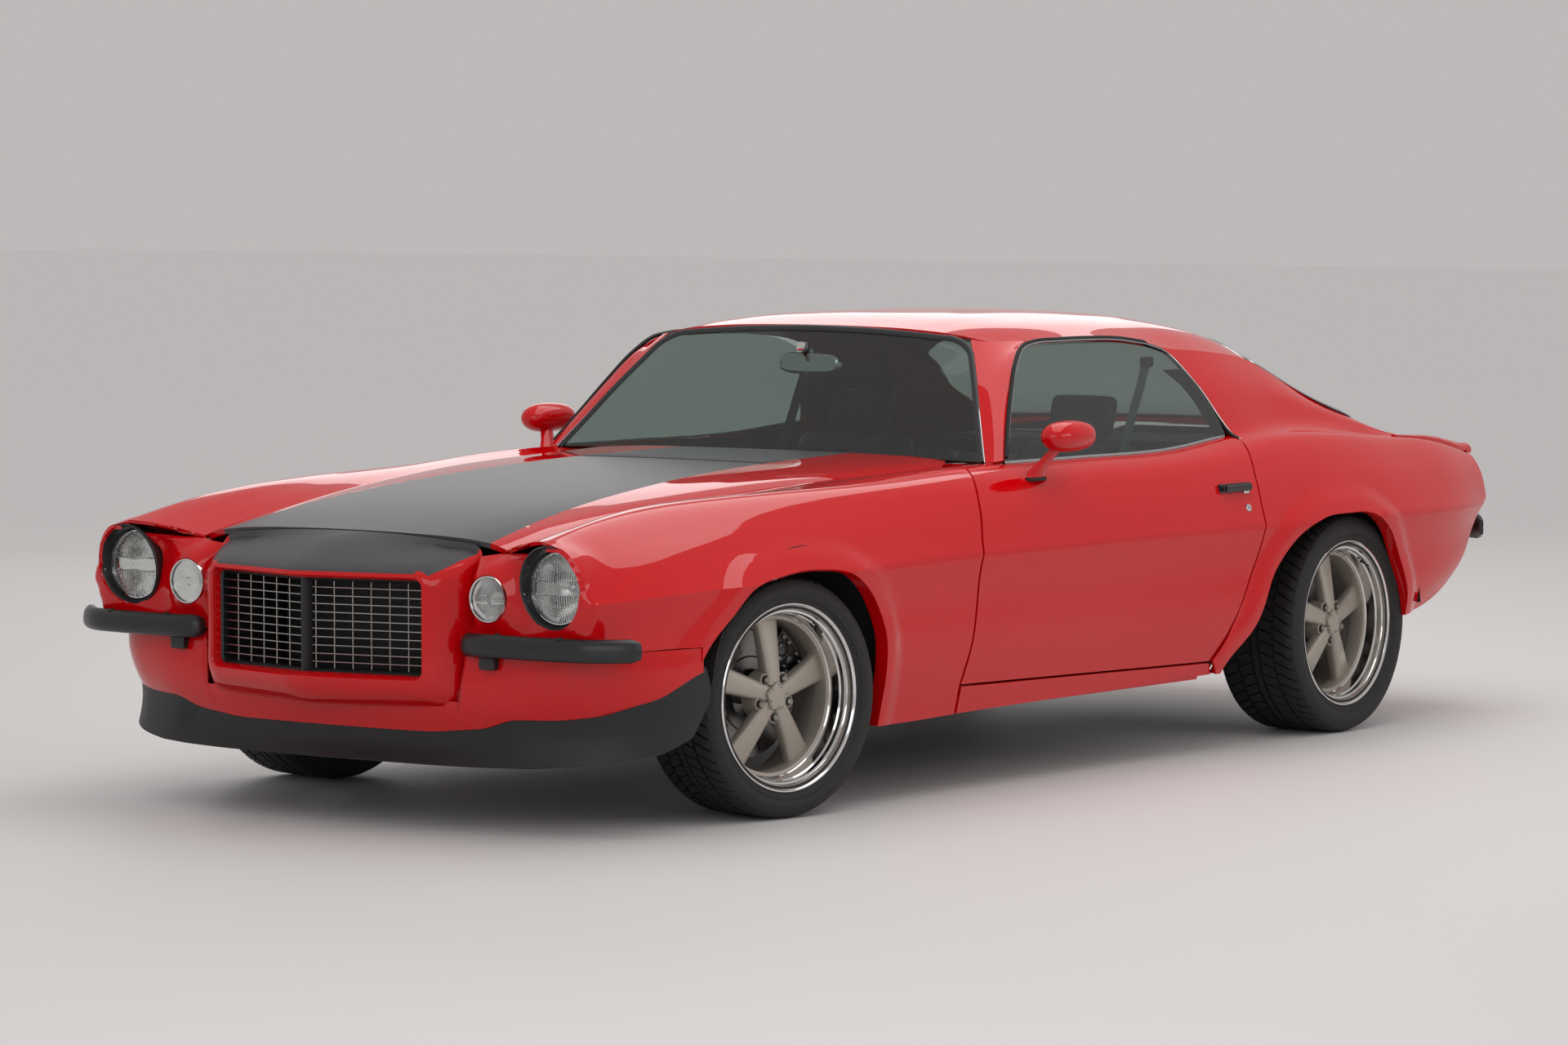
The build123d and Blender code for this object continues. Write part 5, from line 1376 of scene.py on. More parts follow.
def make_louvres():
    """The bonnet's air slots: short pressed blades side by side over a black sheet, painted shade for the
    recess beneath them, near its rear edge.
    """
    across = np.linspace(-1, 1, 15)
    rows = [HOOD.at(np.full(15, y), across * hood_s(y, 318)) + (0, 0, 0.5) for y in (-826, -770, -716)]
    # a thin black sheet laid on the bonnet under the blades: painted shade standing in for the recess beneath
    # them
    blades_and_shade_sheet = thick(skin(rows), 0.4, (0, 0, 1)).paint(1)
    for x in np.arange(-308, 309, 8.0):
        y = np.array([-820.0, -770.0, -722.0])
        blade = [(-2.6, -1), (-2.2, 1.8), (-0.6, 2.6), (1.2, 1.0), (1.6, -1)]
        blades_and_shade_sheet += swept(HOOD.at(y, hood_s(y, x)), blade, (0, 0, 1))
    return blades_and_shade_sheet


def make_mirror():
    """Bullet mirror: rounded nose, open back with its glass set in, on a raked foot."""
    half = [(-331, 1), (-328, 14), (-320, 24), (-306, 33), (-286, 39), (-262, 42), (-230, 43), (-196, 42),
            (-166, 38.5), (-150, 35), (-147, 33), (-148, 31), (-156, 31)]
    turn = full_turn(40)
    ring = lambda y, r: [(917 + 1.13 * r * math.cos(a), y, 942 + r * math.sin(a)) for a in turn]
    shell = skin([ring(y, r) for y, r in half], round_rows=True)
    glass = skin([ring(-155, r) for r in (31.5, 16, 0.5)], round_rows=True, finish=1)
    foot = []
    for z, x, y, wide, deep in (
            (826, 858, -300, 36, 84), (846, 862, -298, 34, 76), (860, 868, -290, 30, 62),
            (880, 880, -276, 27, 52), (902, 894, -262, 27, 48), (916, 902, -252, 30, 52)):
        foot.append([(x + px, y + py, z) for px, py in oval(wide, deep, 24)])
    seal = [[(858 + px, -300 + py, z) for px, py in oval(42, 92, 24)] for z in (822, 831)]
    return shell + glass + tube(foot) + tube(seal, 2)


def make_handle():
    """Black pull handle with its trigger, and the key lock under it."""
    y = np.linspace(562, 726, 12)
    s = DOOR.level(y, np.full(12, 758.0), CROWN_S, CREASE_S)
    base = DOOR.at(y, s)
    plate = swept(base + (2, 0, 0), oval(10, 27, 14, 4.0), (0, 0, 1))
    grip = swept(base[1:-1] + (15, 0, 1), oval(13, 17, 14, 3.0), (0, 0, 1))
    for i in (1, -2):
        grip += block(base[i] + (-2, -7, -7), base[i] + (16, 7, 7), 3.0)
    trigger = block(base[-3] + (4, -14, -18), base[-3] + (12, 14, -8), 3.0, 1)
    spot = DOOR.at([692.0], DOOR.level([692.0], [700.0], CROWN_S, CREASE_S))[0]
    lock = turned([(-2, 12), (2, 12), (4, 10.5), (4.5, 8.5), (3.4, 8), (3.4, 0.4)], spot, (1, 0, 0.55),
                  finish=1)
    # the key slot as a small black block on the lock's face: painted shade standing in for the keyway
    slot = block((-0.9, -4.5, -0.6), (0.9, 4.5, 0.6), 0.2).moved(facing(spot + (3.5, 0, 2), (1, 0, 0.55)))
    return plate + grip + trigger + lock + slot


DOOR_TRIM_X = ([212, 272, 560, 862], [812, 812, 800, 772])   # heights, and how far out the trim stands there


def make_door_trim():
    """Door jamb and inner trim with its armrest, pull and window winder."""
    outer = DOOR.on(door_loop()) - (3, 0, 0)
    inner = outer.copy()
    inner[:, 0] = np.interp(outer[:, 2], *DOOR_TRIM_X)
    jamb = thick(skin([np.vstack([outer, outer[:1]]), np.vstack([inner, inner[:1]])]), 1.5, (0, 0, -1))
    flat = inner[inner[:, 2] < 861][:, 1:]
    trim = thick(side_sheet(flat, lambda z: np.interp(z, *DOOR_TRIM_X), 30.0), 3.0, (-1, 0, 0), 0)
    rest = block((728, -60, 566), (803, 360, 622), 16.0, 1)
    strip = block((790, -380, 690), (798, 620, 700), 3.0, 2)
    winder = turned([(0, 13), (10, 12), (14, 6), (14, 0.5)], (799, -180, 600), (-1, 0, 0), 20, 2)
    arm = block((782, -182, 596), (788, -70, 608), 3.0, 2)
    knob = turned([(0, 9), (20, 11), (26, 8), (27, 0.5)], (786, -76, 602), (-1, 0, 0), 18, 3)
    return jamb + trim.paint(1) + rest + strip + winder + arm + knob


# ---------------------------------------------------------------- tail
def rear_glass_line(inset):
    """The backlight's outline on the roof's surface, `inset` inside its edge."""
    half = np.array([(1193, 0), (1195, 400), (1196, 560), (1215, 622), (1300, 632), (1680, 632), (1728, 600),
                     (1742, 540), (1748, 300), (1748, 0)], float)
    away = half - (1470, 0)
    half = half - away / np.linalg.norm(away, axis=1, keepdims=True) * inset
    return curved(np.vstack([half, (half * (1, -1))[::-1][1:-1]]), 16.0, closed=True)


def make_rear_glass():
    sheet = panel(ROOF, rear_glass_line(4), gap=26.0)
    sheet.points = sheet.points - (0, 2, 3)
    return thick(sheet, 4.0, (0, 0.4, 1))


def make_rear_moulding():
    section = [(-8, -3), (-7, 1), (-2, 3), (4, 3), (8, 0), (8, -3)]
    return swept(ROOF.on(rear_glass_line(6)), section, (0, 0.45, 0.9), closed=True)


def make_rear_surround():
    """Body-coloured margin round the backlight and the panel between it and the boot lid."""
    outer = outlined([(1186, -640), (1186, 640), (1786, 640), (1786, -640)], 16.0)
    return thick(panel(ROOF, outer, rear_glass_line(10)), 4.0, (0, 0.4, 1))


def make_parcel_shelf():
    shelf = block((-560, 1240, 838), (560, 1740, 846), 2.0, 1)
    wall = block((-560, 1238, 472), (560, 1246, 838), 2.0, 1)
    return shelf + wall + both(block((330, 1500, 846), (500, 1600, 852), 3.0, 2))


def make_spoiler_middle():
    section = [(2170, 824), (2205, 829), (2260, 824), (2315, 813), (2338, 808), (2344, 803), (2340, 795),
               (2305, 780), (2288, 772), (2286, 786), (2230, 804), (2180, 818)]
    return tube([[(x, y, z - 2.0e-5 * x * x) for y, z in section] for x in np.linspace(-662, 662, 31)])


def make_spoiler_end():
    """The spoiler's end on the quarter, fading forward into its shoulder."""
    rows = []
    for y, rise, low in ((1815, 1, 6), (1900, 6, 8), (2000, 11, 10), (2100, 16, 12), (2180, 20, 16),
                         (2240, 24, 20), (2290, 27, 8), (2330, 26, 6), (2344, 20, 4)):
        spine, foot = SPINE([min(y, 2286)])[0], FOOT([min(y, 2286)])[0]
        wide = 1 - max(0, y - 2240) / 300
        inner = np.array([spine[0] - 2, spine[1]])
        outer = np.array([spine[0] + (foot[0] + 14 - spine[0]) * wide, foot[1]])
        top = [mixed(inner, outer, t, (0, rise * math.sin(math.pi * (0.25 + 0.6 * t))))
               for t in np.linspace(0, 1, 7)]
        rows.append([(x, y, z) for x, z in [*top, outer - (0, low), inner - (0, low)]])
    return tube(rows)


TAIL_PANEL = [(-560, 440), (560, 440), (672, 548), (696, 610), (730, 655), (718, 742), (500, 758), (0, 764),
              (-500, 758), (-718, 742), (-730, 655), (-696, 610), (-672, 548)]


def tail_lamp_spots():
    """Each tail lamp's x, and whether it is an inner one."""
    return [(side * x, x == TAIL_LAMPS_X[0]) for side in (-1, 1) for x in TAIL_LAMPS_X]


def make_tail_panel():
    holes = [ellipse((x, TAIL_LAMP_Z), TAIL_LAMP_R, TAIL_LAMP_R, 0, 354, 7) for x, _ in tail_lamp_spots()]
    flat, faces = filled([outlined(TAIL_PANEL, 18.0)] + holes, 24.0)
    bow = 2288 - 10 * (flat[:, 0] / 730) ** 2
    return thick(Shape(np.column_stack([flat[:, 0], bow, flat[:, 1]]), faces), 5.0, (0, 1, 0))


def make_tail_lamps():
    """Round lamps, two a side: red lens over rings, a clear centre in the inner ones, bright rims."""
    lamps = Shape()
    rim = [(0, 66), (9, 66), (12, 64), (12, 60), (8, 58.5), (0, 58.5)]
    red = [(7, 58.5), (9, 50), (10, 44), (9, 42), (10.5, 38), (11, 30), (10, 28), (11, 22)]
    bowl_in = [(-16, 22), (-16, 58.5), (0, 62)]
    for x, inner in tail_lamp_spots():
        shape = lathe(rim, 72, 1) + lathe(red + [(10, 20)], 72, 0) + lathe(bowl_in, 48, 3)
        shape += lathe([(10, 20), (11.5, 16), (12, 0.5)], 40, 2 if inner else 0)
        lamps += shape.moved(facing((x, 2284, TAIL_LAMP_Z), (0, 1, 0)))
    return lamps


def make_tail_corner():
    """The quarter's end, turned in to the tail panel and down round the pan's side."""
    levels = np.linspace(SPINE_S + 60, QUARTER.level([2286.0], [656.0], CROWN_S, TUCK_S)[0], 12)
    outer = QUARTER.at(np.full(12, 2286.0), levels)
    z = outer[:, 2]
    inner = np.column_stack([np.interp(z, [655, 742], [728, 716]), np.full(12, 2289.0), z])
    end = skin([outer, mixed(outer, inner, 0.4, (0, 6, 0)), inner])
    edge = QUARTER.on(on_side(QUARTER, curved(QUARTER_TAIL)[6:])[::-1]) - (2, 0, 0)
    run = np.linspace(0, 1, len(edge))
    pan = [(730, 2289, 655), (700, 2289, 608), (684, 2291, 556), (676, 2291, 484), (600, 2286, 430),
           (556, 2240, 396), (548, 2080, 356)]
    pan = smooth(np.linspace(0, 1, len(pan)), pan, run)
    middle = 0.5 * (edge + pan) + np.sin(math.pi * run)[:, None] * (18, 12, 0)
    return thick(end, 4.0, (0, 1, 0)) + thick(skin([edge, middle, pan]), 4.0, (0.6, 1, -0.4))


def make_rocker():
    """The sill's outer panel, flush with the door and just below its foot."""
    top = on_side(DOOR, straight([(-710, 288), (534, 261)], 20.0))
    foot = straight([(550, SILL_S), (-712, SILL_S)], 20.0)
    return thick(panel(DOOR, np.vstack([top, foot])), 14.0)


def make_rear_bumper():
    """Rear bumper: one blade with rounded ends, on two stays."""
    half = [(0, 2372), (280, 2370), (556, 2358), (690, 2318), (770, 2268), (800, 2236)]
    path = curved([(-x, y) for x, y in half[:0:-1]] + half, 18.0)
    path = np.column_stack([path, np.full(len(path), 557.0)])
    section = curved([(11, -36), (14, -20), (13, 0), (14, 20), (10, 36), (-2, 38), (-6, 26), (-8, 0),
                      (-6, -26), (-2, -38)], 7.0, closed=True)
    run = np.linspace(0, 1, len(path))
    blade = swept(path, section * (-1, 1), scale=np.minimum(1, 0.6 + 14 * np.minimum(run, 1 - run)))
    return blade + both(block((378, 2288, 536), (422, 2366, 562), 3.0))


# ---------------------------------------------------------------- cabin
COLUMN_X, COLUMN = 370, (0, 340, 95)   # the steering column's place across the car, and its direction


def make_headliner():
    sheet = panel(ROOF, outlined([(-128, -560), (-128, 560), (1170, 560), (1170, -560)], 30.0), gap=40.0)
    sheet.points = sheet.points - (0, 0, 16)
    return thick(sheet, 4.0, (0, 0, 1))


def make_quarter_trim():
    """Trim beside the rear seat, up the inside of the rear pillar."""
    wall = [(596, 470), (690, 480), (770, 620), (800, 760), (845, 880), (800, 950), (748, 1044), (700, 1086),
            (1060, 1078), (1150, 1010), (1236, 900), (1236, 700), (1236, 560), (930, 560), (930, 470)]
    x_of = lambda z: np.interp(z, [470, 860, 1000, 1100], [738, 726, 676, 610])
    return thick(side_sheet(outlined(wall, 30.0), x_of, 40.0), 3.0, (-1, 0, 0))


def make_carpet():
    """Carpet over the floor and its tunnel, the tunnel fading out under the rear seat."""
    across = [(-742, 46), (-700, 4), (-170, 4), (-118, 172), (118, 172), (170, 4), (700, 4), (742, 46)]
    rows = []
    for y, z in ((-556, 304), (-420, 240), (-100, 238), (300, 238), (690, 238), (800, 330), (930, 425),
                 (1100, 472), (1236, 474)):
        fade = np.clip((820 - y) / 240, 0.02, 1)
        line = straight([(x, z + (rise if abs(x) > 600 else 4 + (rise - 4) * fade))
                         for x, rise in across], 60.0)
        rows.append([(x, y, h) for x, h in line])
    count = min(len(row) for row in rows)
    return thick(skin([row[:count] for row in rows]), 3.0, (0, 0, 1))


def make_dash():
    """Padded dash with a hooded cluster, round dials and vents, the console, lever, column and pedals."""
    section = curved([(-540, 770), (-350, 826), (-290, 828), (-236, 812), (-212, 780), (-206, 735),
                      (-216, 690), (-246, 640), (-330, 604), (-530, 600)], 24.0, closed=True)
    rows = []
    for x in np.linspace(-738, 738, 33):
        hood = 16 * math.exp(-((x - COLUMN_X) / 200) ** 4)
        rows.append([(x, y, z + (hood if z > 740 else 0)) for y, z in section])
    dash = tube(rows)
    for x, r in ((290, 58), (440, 58), (370, 26), (160, 34)):
        dial = lathe([(0, r + 5), (5, r + 4), (6, r), (1, r - 1)], 48, 1)
        dial += lathe([(1.5, r - 1), (1.6, 0.4)], 48, 2)
        dial += block((1.7, -1, -2), (2.4, 1, r - 10), 0.3, 3).moved(Matrix.Rotation(2.2, 4, "X"))
        dash += dial.moved(facing((x, -209, 738), (0, 1, 0.05)))
    for x in (-600, -240, 40):
        dash += block((x - 55, -214, 744), (x + 55, -202, 780), 5.0)
        for z in (748, 756, 764, 772):
            dash += block((x - 50, -203, z), (x + 50, -199, z + 3), 1.0, 3)
    console = block((-84, -330, 398), (84, 500, 468), 14.0)
    lever = wire((0, 60, 466), (0, 30, 600), 7, 1)
    knob = turned([(0, 10), (10, 19), (26, 23), (40, 17), (47, 0.5)], (0, 30, 596), (0, -0.2, 1))
    boot = skin([[(x, 62 + y, z) for x, y in oval(w, w, 20, 3)]
                 for z, w in ((466, 110), (480, 84), (500, 40), (512, 22))], round_rows=True)
    column = turned([(0, 34), (250, 32), (330, 26), (346, 22)], (COLUMN_X, -330, 642), COLUMN, 32)
    stalk = wire((COLUMN_X, -60, 716), (240, -50, 726), 4, 0)
    pedals = block((330, -470, 330), (400, -455, 400), 4.0) + block((450, -480, 300), (500, -465, 420), 4.0)
    hangers = wire((365, -478, 395), (365, -520, 560), 6, 1) + wire((475, -488, 415), (475, -520, 560), 6, 1)
    return together([dash, console, lever, knob, boot, column, stalk, pedals, hangers])


def make_steering_wheel():
    """Three spokes in a padded rim, square to the column; their drilled holes are black discs of painted
    shade.
    """
    turn = full_turn(96)
    path = np.stack([np.zeros(96), 173 * np.cos(turn), 173 * np.sin(turn)], 1)
    wheel = swept(path, oval(21, 24, 14), (1, 0, 0), closed=True)
    for angle in (90, 210, 330):
        wheel += tube([[(x, half * t, r) for x, t in ((-6, -1), (-6, 1), (-2, 1), (-2, -1))]
                       for r, half in ((26, 26), (60, 19), (130, 15), (168, 18))], 1).moved(tipped(angle))
        # the drilled holes as black discs just proud of each spoke: painted shade standing in for the
        # openings
        for r in (72, 98, 122):
            hole = lathe([(-1.5, 7), (-1.2, 7), (-1.2, 0.4)], 18)
            wheel += hole.moved(tipped(angle) @ Matrix.Translation((0, 0, r)))
    wheel += lathe([(-40, 30), (-10, 34), (6, 36), (14, 30), (17, 18), (18, 0.5)], 40)
    return wheel.moved(facing((COLUMN_X, 62, 749), COLUMN))


def make_inside_mirror():
    """Inside mirror: a slim rounded shell with its glass behind, hung on an arm."""
    height = 1118
    ring = lambda w, h, y, k=1.0: [(x * k, y, z * k + height) for x, z in oval(w, h, 32, 4.0)]
    shell = skin([ring(190, 44, -184), ring(206, 56, -180), ring(212, 62, -170), ring(210, 60, -164)],
                 round_rows=True)
    face = skin([ring(208, 58, -165, k) for k in (1.0, 0.5, 0.01)], round_rows=True, finish=1)
    back = skin([ring(190, 44, -184, k) for k in (1.0, 0.5, 0.01)], round_rows=True)
    arm = wire((0, -182, 1126), (0, -214, 1166), 5, 0) + block((-14, -224, 1156), (14, -206, 1182), 4.0)
    return shell + face + back + arm


def seat_groove(points, edge, pitch):
    """How deep, from 0 to 1, the sewn channels run at points given as (across, along)."""
    across, along = points[:, 0], points[:, 1]
    wide = 7.0
    border = np.exp(-((np.abs(across) - edge) / wide) ** 2)
    steps = np.abs((along / pitch + 0.5) % 1.0 - 0.5) * pitch
    return np.maximum(border, np.exp(-(steps / wide) ** 2) * (np.abs(across) < edge))


# cushions: the voxels' size, the air pressure and its frames, then the crown, channel and seam allowance
PAD_VOXEL, PAD_PRESSURE, PAD_FRAMES = 11.0, 4.0, 20
PAD_CROWN, PAD_CHANNEL, PAD_SEAM = 6.0, 7.0, 9.0
PAD_TOP = 0.35   # the face starts this part of the half depth above the middle


def make_pad(name, x, size, soft, middle, lean, cap, edge, pitch, stands_for=()):
    """A sewn cushion: a block blown up as cloth, its swelling capped, then its channels drawn in.

    `size` is across, along and deep; the pad's face is its +Z side before it is tipped by `lean` and set at x
    and its `middle`, (y, z). The cloth panel lies inside `edge`, and its channels are `pitch` apart.
    """
    half = 0.5 * np.array(size) - PAD_SEAM
    pad = piece(name, block(-half, half, soft), [VINYL, CLOTH], stands_for=stands_for)
    pad.modifiers.new("voxels", "REMESH").mode = "VOXEL"
    pad.modifiers["voxels"].voxel_size = PAD_VOXEL * MM
    hold(pad)
    start = corners_of(pad)
    cloth = pad.modifiers.new("cloth", "CLOTH").settings
    cloth.use_pressure = True
    cloth.uniform_pressure_force = PAD_PRESSURE
    cloth.effector_weights.gravity = 0.0
    for step in range(1, PAD_FRAMES + 1):
        bpy.context.scene.frame_set(step)
    hold(pad)
    bpy.context.scene.frame_set(1)
    moved = corners_of(pad) - start
    far = np.linalg.norm(moved, axis=1, keepdims=True)
    points = start + moved * np.minimum(1, cap / np.maximum(far, 1e-6))
    crown = np.prod((1 - (np.abs(points[:, :2]) / half[:2]) ** 2).clip(0), axis=1)
    upper = points[:, 2] > PAD_TOP * half[2]
    points[:, 2] += upper * (PAD_CROWN * crown - PAD_CHANNEL * seat_groove(points, edge, pitch))
    placed = np.array(Matrix.Translation((x, *middle)) @ tipped(lean))
    points = points @ placed[:3, :3].T + placed[:3, 3]
    pad.data.vertices.foreach_set("co", (points * MM).reshape(-1))
    centre = np.zeros(len(pad.data.polygons) * 3)
    pad.data.polygons.foreach_get("center", centre)
    local = (centre.reshape(-1, 3) / MM - placed[:3, 3]) @ placed[:3, :3]
    inside = (np.abs(local[:, 0]) < edge) & (local[:, 2] > PAD_TOP * half[2])
    pad.data.polygons.foreach_set("material_index", inside.astype(np.int32))
    pad.data.shade_smooth()
    pad.data.update()
    pad.modifiers.new("rounding", "SUBSURF").levels = 1
    pad.modifiers["rounding"].render_levels = 1


def hold(thing):
    """Applies the modifiers on a piece to its mesh."""
    whole = thing.evaluated_get(bpy.context.evaluated_depsgraph_get())
    mesh = bpy.data.meshes.new_from_object(whole)
    for material in thing.data.materials:
        if material.name not in mesh.materials:
            mesh.materials.append(material)
    thing.modifiers.clear()
    thing.data = mesh


def corners_of(thing):
    """A piece's points in millimetres."""
    points = np.zeros(len(thing.data.vertices) * 3)
    thing.data.vertices.foreach_get("co", points)
    return points.reshape(-1, 3) / MM


def make_seat_base():
    rails = both(block((150, -30, 0), (174, 420, 26), 4.0, 1))
    shell = block((-205, 0, 20), (205, 390, 74), 10.0)
    hinge = turned([(0, 26), (9, 26), (12, 20), (12, 0.5)], (214, 408, 190), (1, 0, 0), finish=1)
    return rails + shell + both(hinge)


def strap(line):
    """Webbing 46 mm wide along a line, with its length."""
    line = curved(line, 12.0)
    length = np.linalg.norm(np.diff(line, axis=0), axis=1).sum()
    side = np.array([0, 23.0, 0])
    return thick(skin([[p - side, p, p + side] for p in line]), 1.2, (1, 0, 0)), length


piece("windscreen_pillars", both(make_pillar()), PAINT)
piece("windscreen_glass", make_screen(), GLASS, stands_for="windscreen")
piece("windscreen_moulding", make_screen_moulding(), [GLAZING_TRIM, MOULDING])
piece("cowl_cover", make_cowl(), [PAINT, PLASTIC], stands_for="cowl")
# the louvres' black sheet is painted shade under the blades
piece("bonnet_louvres", make_louvres(), [STRIPE, PLASTIC], body="hood")
piece("window_trim", both(make_window_trim()), [SEAL, MOULDING])
for word, side in SIDES:
    leaf = "door_" + word
    piece("side_glass_" + word, make_side_glass().hand(side), GLASS, leaf,
          stands_for="door_glass_" + word)
    piece("belt_strip_" + word, make_belt_strip().hand(side), MOULDING, leaf)
    piece("door_mirror_" + word, make_mirror().hand(side), [PAINT, SILVERED, SEAL], leaf,
          stands_for="mirror_" + word)
    piece("door_handle_" + word, make_handle().hand(side), [POWDER, CHROME], leaf)
    piece("door_trim_" + word, make_door_trim().hand(side), [PAINT, VINYL, MOULDING, PLASTIC],
          leaf)
piece("backlight_glass", make_rear_glass(), GLASS, stands_for="rear_window")
piece("backlight_moulding", make_rear_moulding(), MOULDING)
piece("backlight_surround", make_rear_surround(), PAINT)
piece("parcel_shelf", make_parcel_shelf(), [PAINT, CARPET, PLASTIC],
      stands_for="rear_shelf")
piece("spoiler_middle", make_spoiler_middle(), PAINT, body="decklid", stands_for="rear_spoiler")
piece("spoiler_outer_ends", both(make_spoiler_end()), PAINT, stands_for="spoiler_ends")
piece("tail_panel_paint", make_tail_panel(), PAINT, stands_for="tail_panel")
piece("tail_lamp_units", make_tail_lamps(), [RED_LENS, CHROME, LENS, SILVERED],
      stands_for="tail_lamps")
piece("tail_corners", both(make_tail_corner()), PAINT)
piece("sill_panels", both(make_rocker()), PAINT)
piece("rear_bumper_blade", make_rear_bumper(), POWDER, stands_for="rear_bumper")

piece("headliner", make_headliner(), CLOTH)
piece("quarter_trims", both(make_quarter_trim()), VINYL)
piece("cabin_carpet", make_carpet(), CARPET)
piece("dash_and_console", make_dash(), [VINYL, CHROME, PLASTIC, LENS],
      stands_for="dashboard")
piece("steering_wheel_trim", make_steering_wheel(), [VINYL, STEEL],
      stands_for="steering_wheel")
piece("inside_mirror", make_inside_mirror(), [CHROME, SILVERED])
SEAT_X = 395
# size, ease of its edges, middle, lean in degrees, most swelling, then its channels' edge and pitch
FRONT_PADS = {"seat_cushion_": ((500, 480, 124), 34.0, (182, 366), 3, 24.0, 158, 62),
              "seat_back_": ((466, 500, 104), 34.0, (528, 662), 70.5, 22.0, 150, 62),
              "head_rest_": ((236, 150, 84), 30.0, (618, 948), 72, 16.0, 400, 900)}
BELT_ROUTE = [(602, 640, 1112), (604, 610, 1050), (604, 560, 950), (606, 515, 853), (622, 470, 700),
              (644, 440, 520), (652, 430, 330)]
for word, side in SIDES:
    spot = Matrix.Translation((side * SEAT_X, 0, 236))
    piece("seat_base_" + word, make_seat_base().moved(spot), [VINYL, STEEL],
          stands_for="seat_" + word)
    for pad, sizes in FRONT_PADS.items():
        make_pad(pad + word, side * SEAT_X, *sizes)
    belt, length = strap(BELT_ROUTE)
    webbing = piece("seat_belt_" + word, belt.hand(side), WEBBING)
    ends = block((594, 616, 1096), (612, 664, 1126), 5.0) + block((646, 404, 300), (662, 456, 344), 5.0)
    piece("belt_anchors_" + word, ends.hand(side), PLASTIC)
make_pad("rear_cushion", 0, (1076, 250, 92), 28.0, (1000, 500), -2, 18.0, 420, 60, "rear_seat")
make_pad("rear_backrest", 0, (1076, 300, 88), 28.0, (1164, 676), 76, 18.0, 420, 60)


# ---------------------------------------------------------------- wheel houses, and the solids left to show
LINER = 2.5   # the liners' wall


def arch_line(house, x, start, end):
    """A wheel house's arc at x in the side view, between two angles in degrees."""
    angles = np.radians(np.arange(start, end + 1, 6))
    y, radius = house
    return np.column_stack([np.full(len(angles), x), y + radius * np.cos(angles),
                            HOUSE_Z + radius * np.sin(angles)])


def make_house(house, inner, outer, start, end):
    """A wheel's inner fender: an arch over the tyre."""
    rows = [arch_line(house, x, start, end) for x in np.linspace(inner, outer, 5)]
    return thick(skin(rows), LINER, (0, 0, 1))


def make_rear_house():
    """The rear wheel house: its arch, its inner side, and the splash shield ahead of the tyre."""
    rim = arch_line(REAR_HOUSE, HOUSE_INNER_X, 6, 180)
    foot = np.column_stack([rim[:, :2], np.minimum(rim[:, 2], HOUSE_Z)])
    z = np.linspace(240, 640, 15)
    x, (y, radius) = np.full(15, HOUSE_INNER_X), REAR_HOUSE
    arch_y, arch_z = np.array(REAR_ARCH[1:7], float).T
    edge = np.column_stack([x, np.interp(z, arch_z, arch_y) - 6, z])
    back = np.column_stack([x, y - np.sqrt(radius ** 2 - (z - HOUSE_Z) ** 2), z])
    return (make_house(REAR_HOUSE, HOUSE_INNER_X, 902, 6, 132) + thick(skin([rim, foot]), LINER, (-1, 0, 0))
            + thick(skin([edge, back]), LINER, (1, 0, 0)))


def make_grille_duct():
    """Black duct from the grille back to the radiator."""
    rows = []
    for y, prowed, half, low, top in ((-2308, 0.2, 350, 398, 644), (-2190, 0, 345, 396, 646),
                                      (-2072, 0, 322, 340, 640)):
        rows.append([(x, prow(x, y, prowed), z) for x, z in frame_loop(half, low, top, 18)])
    return thick(skin(rows, round_rows=True), 3.0, (0, 0, 1))


piece("front_wheel_houses", both(make_house(FRONT_HOUSE, 500, 900, 4, 176)), UNDERSEAL)
piece("rear_wheel_houses", both(make_rear_house()), UNDERSEAL,
      stands_for="rear_wheel_tubs")
piece("grille_duct", make_grille_duct(), PLASTIC)
SHOWN_SOLIDS = {PAINT: ("rockers", "rear_valance"), UNDERSEAL: ("floor_pan", "driveline"),
                GLOSS_BLACK: ("engine_bay", "front_subframe"), ENGINE_PAINT: ("engine",), CORE: ("radiator",),
                TERNE: ("fuel_tank",), EXHAUST: ("exhaust",), IRON: ("knuckle_left", "knuckle_right")}
for material, names in SHOWN_SOLIDS.items():
    for name in names:
        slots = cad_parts[name].data.materials
        slots.clear()
        slots.append(material)


# ---------------------------------------------------------------- floor, light and camera
FLOOR_HALF = 60000


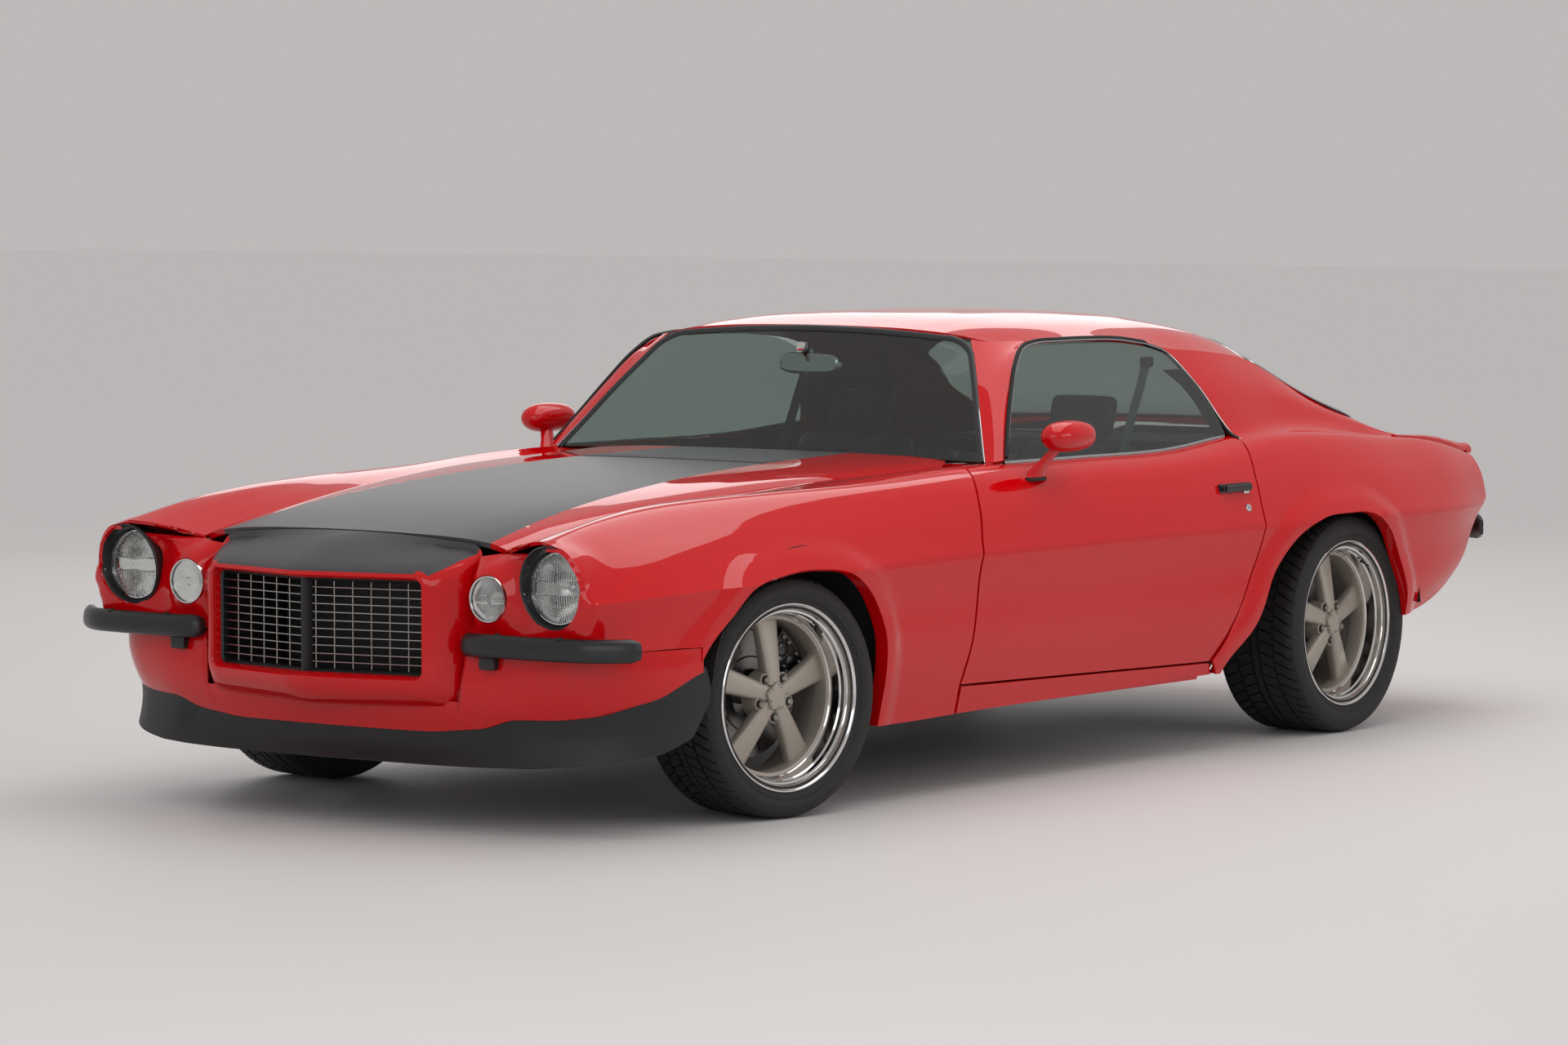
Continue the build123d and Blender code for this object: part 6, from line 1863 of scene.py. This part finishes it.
def make_stage():
    floor = skin([[(-FLOOR_HALF, y, 0), (FLOOR_HALF, y, 0)] for y in (-FLOOR_HALF, FLOOR_HALF)])
    mesh = bpy.data.meshes.new("studio_floor")
    mesh.from_pydata((floor.points * MM).tolist(), [], floor.faces)
    studio = bpy.data.objects.new("studio_floor", mesh)
    bpy.context.scene.collection.objects.link(studio)
    material = bpy.data.materials.new("painted_studio_floor")
    material.use_nodes = True
    shader = material.node_tree.nodes["Principled BSDF"]
    shader.inputs["Base Color"].default_value = linear("C9C5C3")
    shader.inputs["Roughness"].default_value = 0.55
    mesh.materials.append(material)
    studio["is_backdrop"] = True


def lamp(name, spot, target, size, power):
    """A softbox in metres and watts, aimed at a target."""
    light = bpy.data.lights.new(name, "AREA")
    light.shape, light.energy = "RECTANGLE", power
    light.size, light.size_y = size
    made = bpy.data.objects.new(name, light)
    bpy.context.scene.collection.objects.link(made)
    made.location = spot
    made.rotation_euler = (Vector(target) - Vector(spot)).to_track_quat("-Z", "Y").to_euler()


def make_world():
    """Soft studio fill on the car; the view, glass and reflections see a pale plain background."""
    world = bpy.data.worlds.new("studio")
    bpy.context.scene.world = world
    world.use_nodes = True
    tree = world.node_tree
    tree.nodes.clear()
    path = add(tree, "LightPath", {})
    seen = add(tree, "Math", {0: (path, "Is Camera Ray"), 1: (path, "Is Transmission Ray")},
               operation="MAXIMUM")
    seen = add(tree, "Math", {0: (seen, "Value"), 1: (path, "Is Glossy Ray")}, operation="MAXIMUM")
    fill = add(tree, "Background", {"Color": linear("F4F5F6"), "Strength": 0.95})
    pale = add(tree, "Background", {"Color": linear("BDBAB9"), "Strength": 1.0})
    mix = add(tree, "MixShader", {0: (seen, "Value"), 1: (fill, "Background"), 2: (pale, "Background")})
    add(tree, "OutputWorld", {"Surface": (mix, "Shader")})


def make_camera():
    camera = bpy.data.cameras.new("studio_camera")
    camera.lens, camera.sensor_width = 131.15, 36.0
    made = bpy.data.objects.new("studio_camera", camera)
    bpy.context.scene.collection.objects.link(made)
    made.location = (9.64756, -13.20524, 1.72331)
    made.rotation_euler = Vector((-0.59749, 0.79923, -0.06506)).to_track_quat("-Z", "Y").to_euler()
    camera.clip_end = 200.0
    bpy.context.scene.camera = made


make_stage()
make_world()
make_camera()
lamp("overhead_softbox", (0.5, 1.0, 4.6), (0, 0.6, 0.5), (7.0, 3.2), 110)
lamp("front_softbox", (3.5, -6.5, 2.6), (0, -0.6, 0.5), (5.0, 2.4), 50)
lamp("side_softbox", (7.5, 1.5, 2.8), (0.3, 0.2, 0.6), (5.0, 2.2), 50)
lamp("rear_softbox", (-5.0, 6.0, 3.2), (0, 0.8, 0.7), (5.0, 2.4), 40)

bpy.context.scene.view_settings.view_transform = "Standard"
bpy.context.view_layer.update()
sizes = {"cad": CAD_BOX, "visual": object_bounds()}
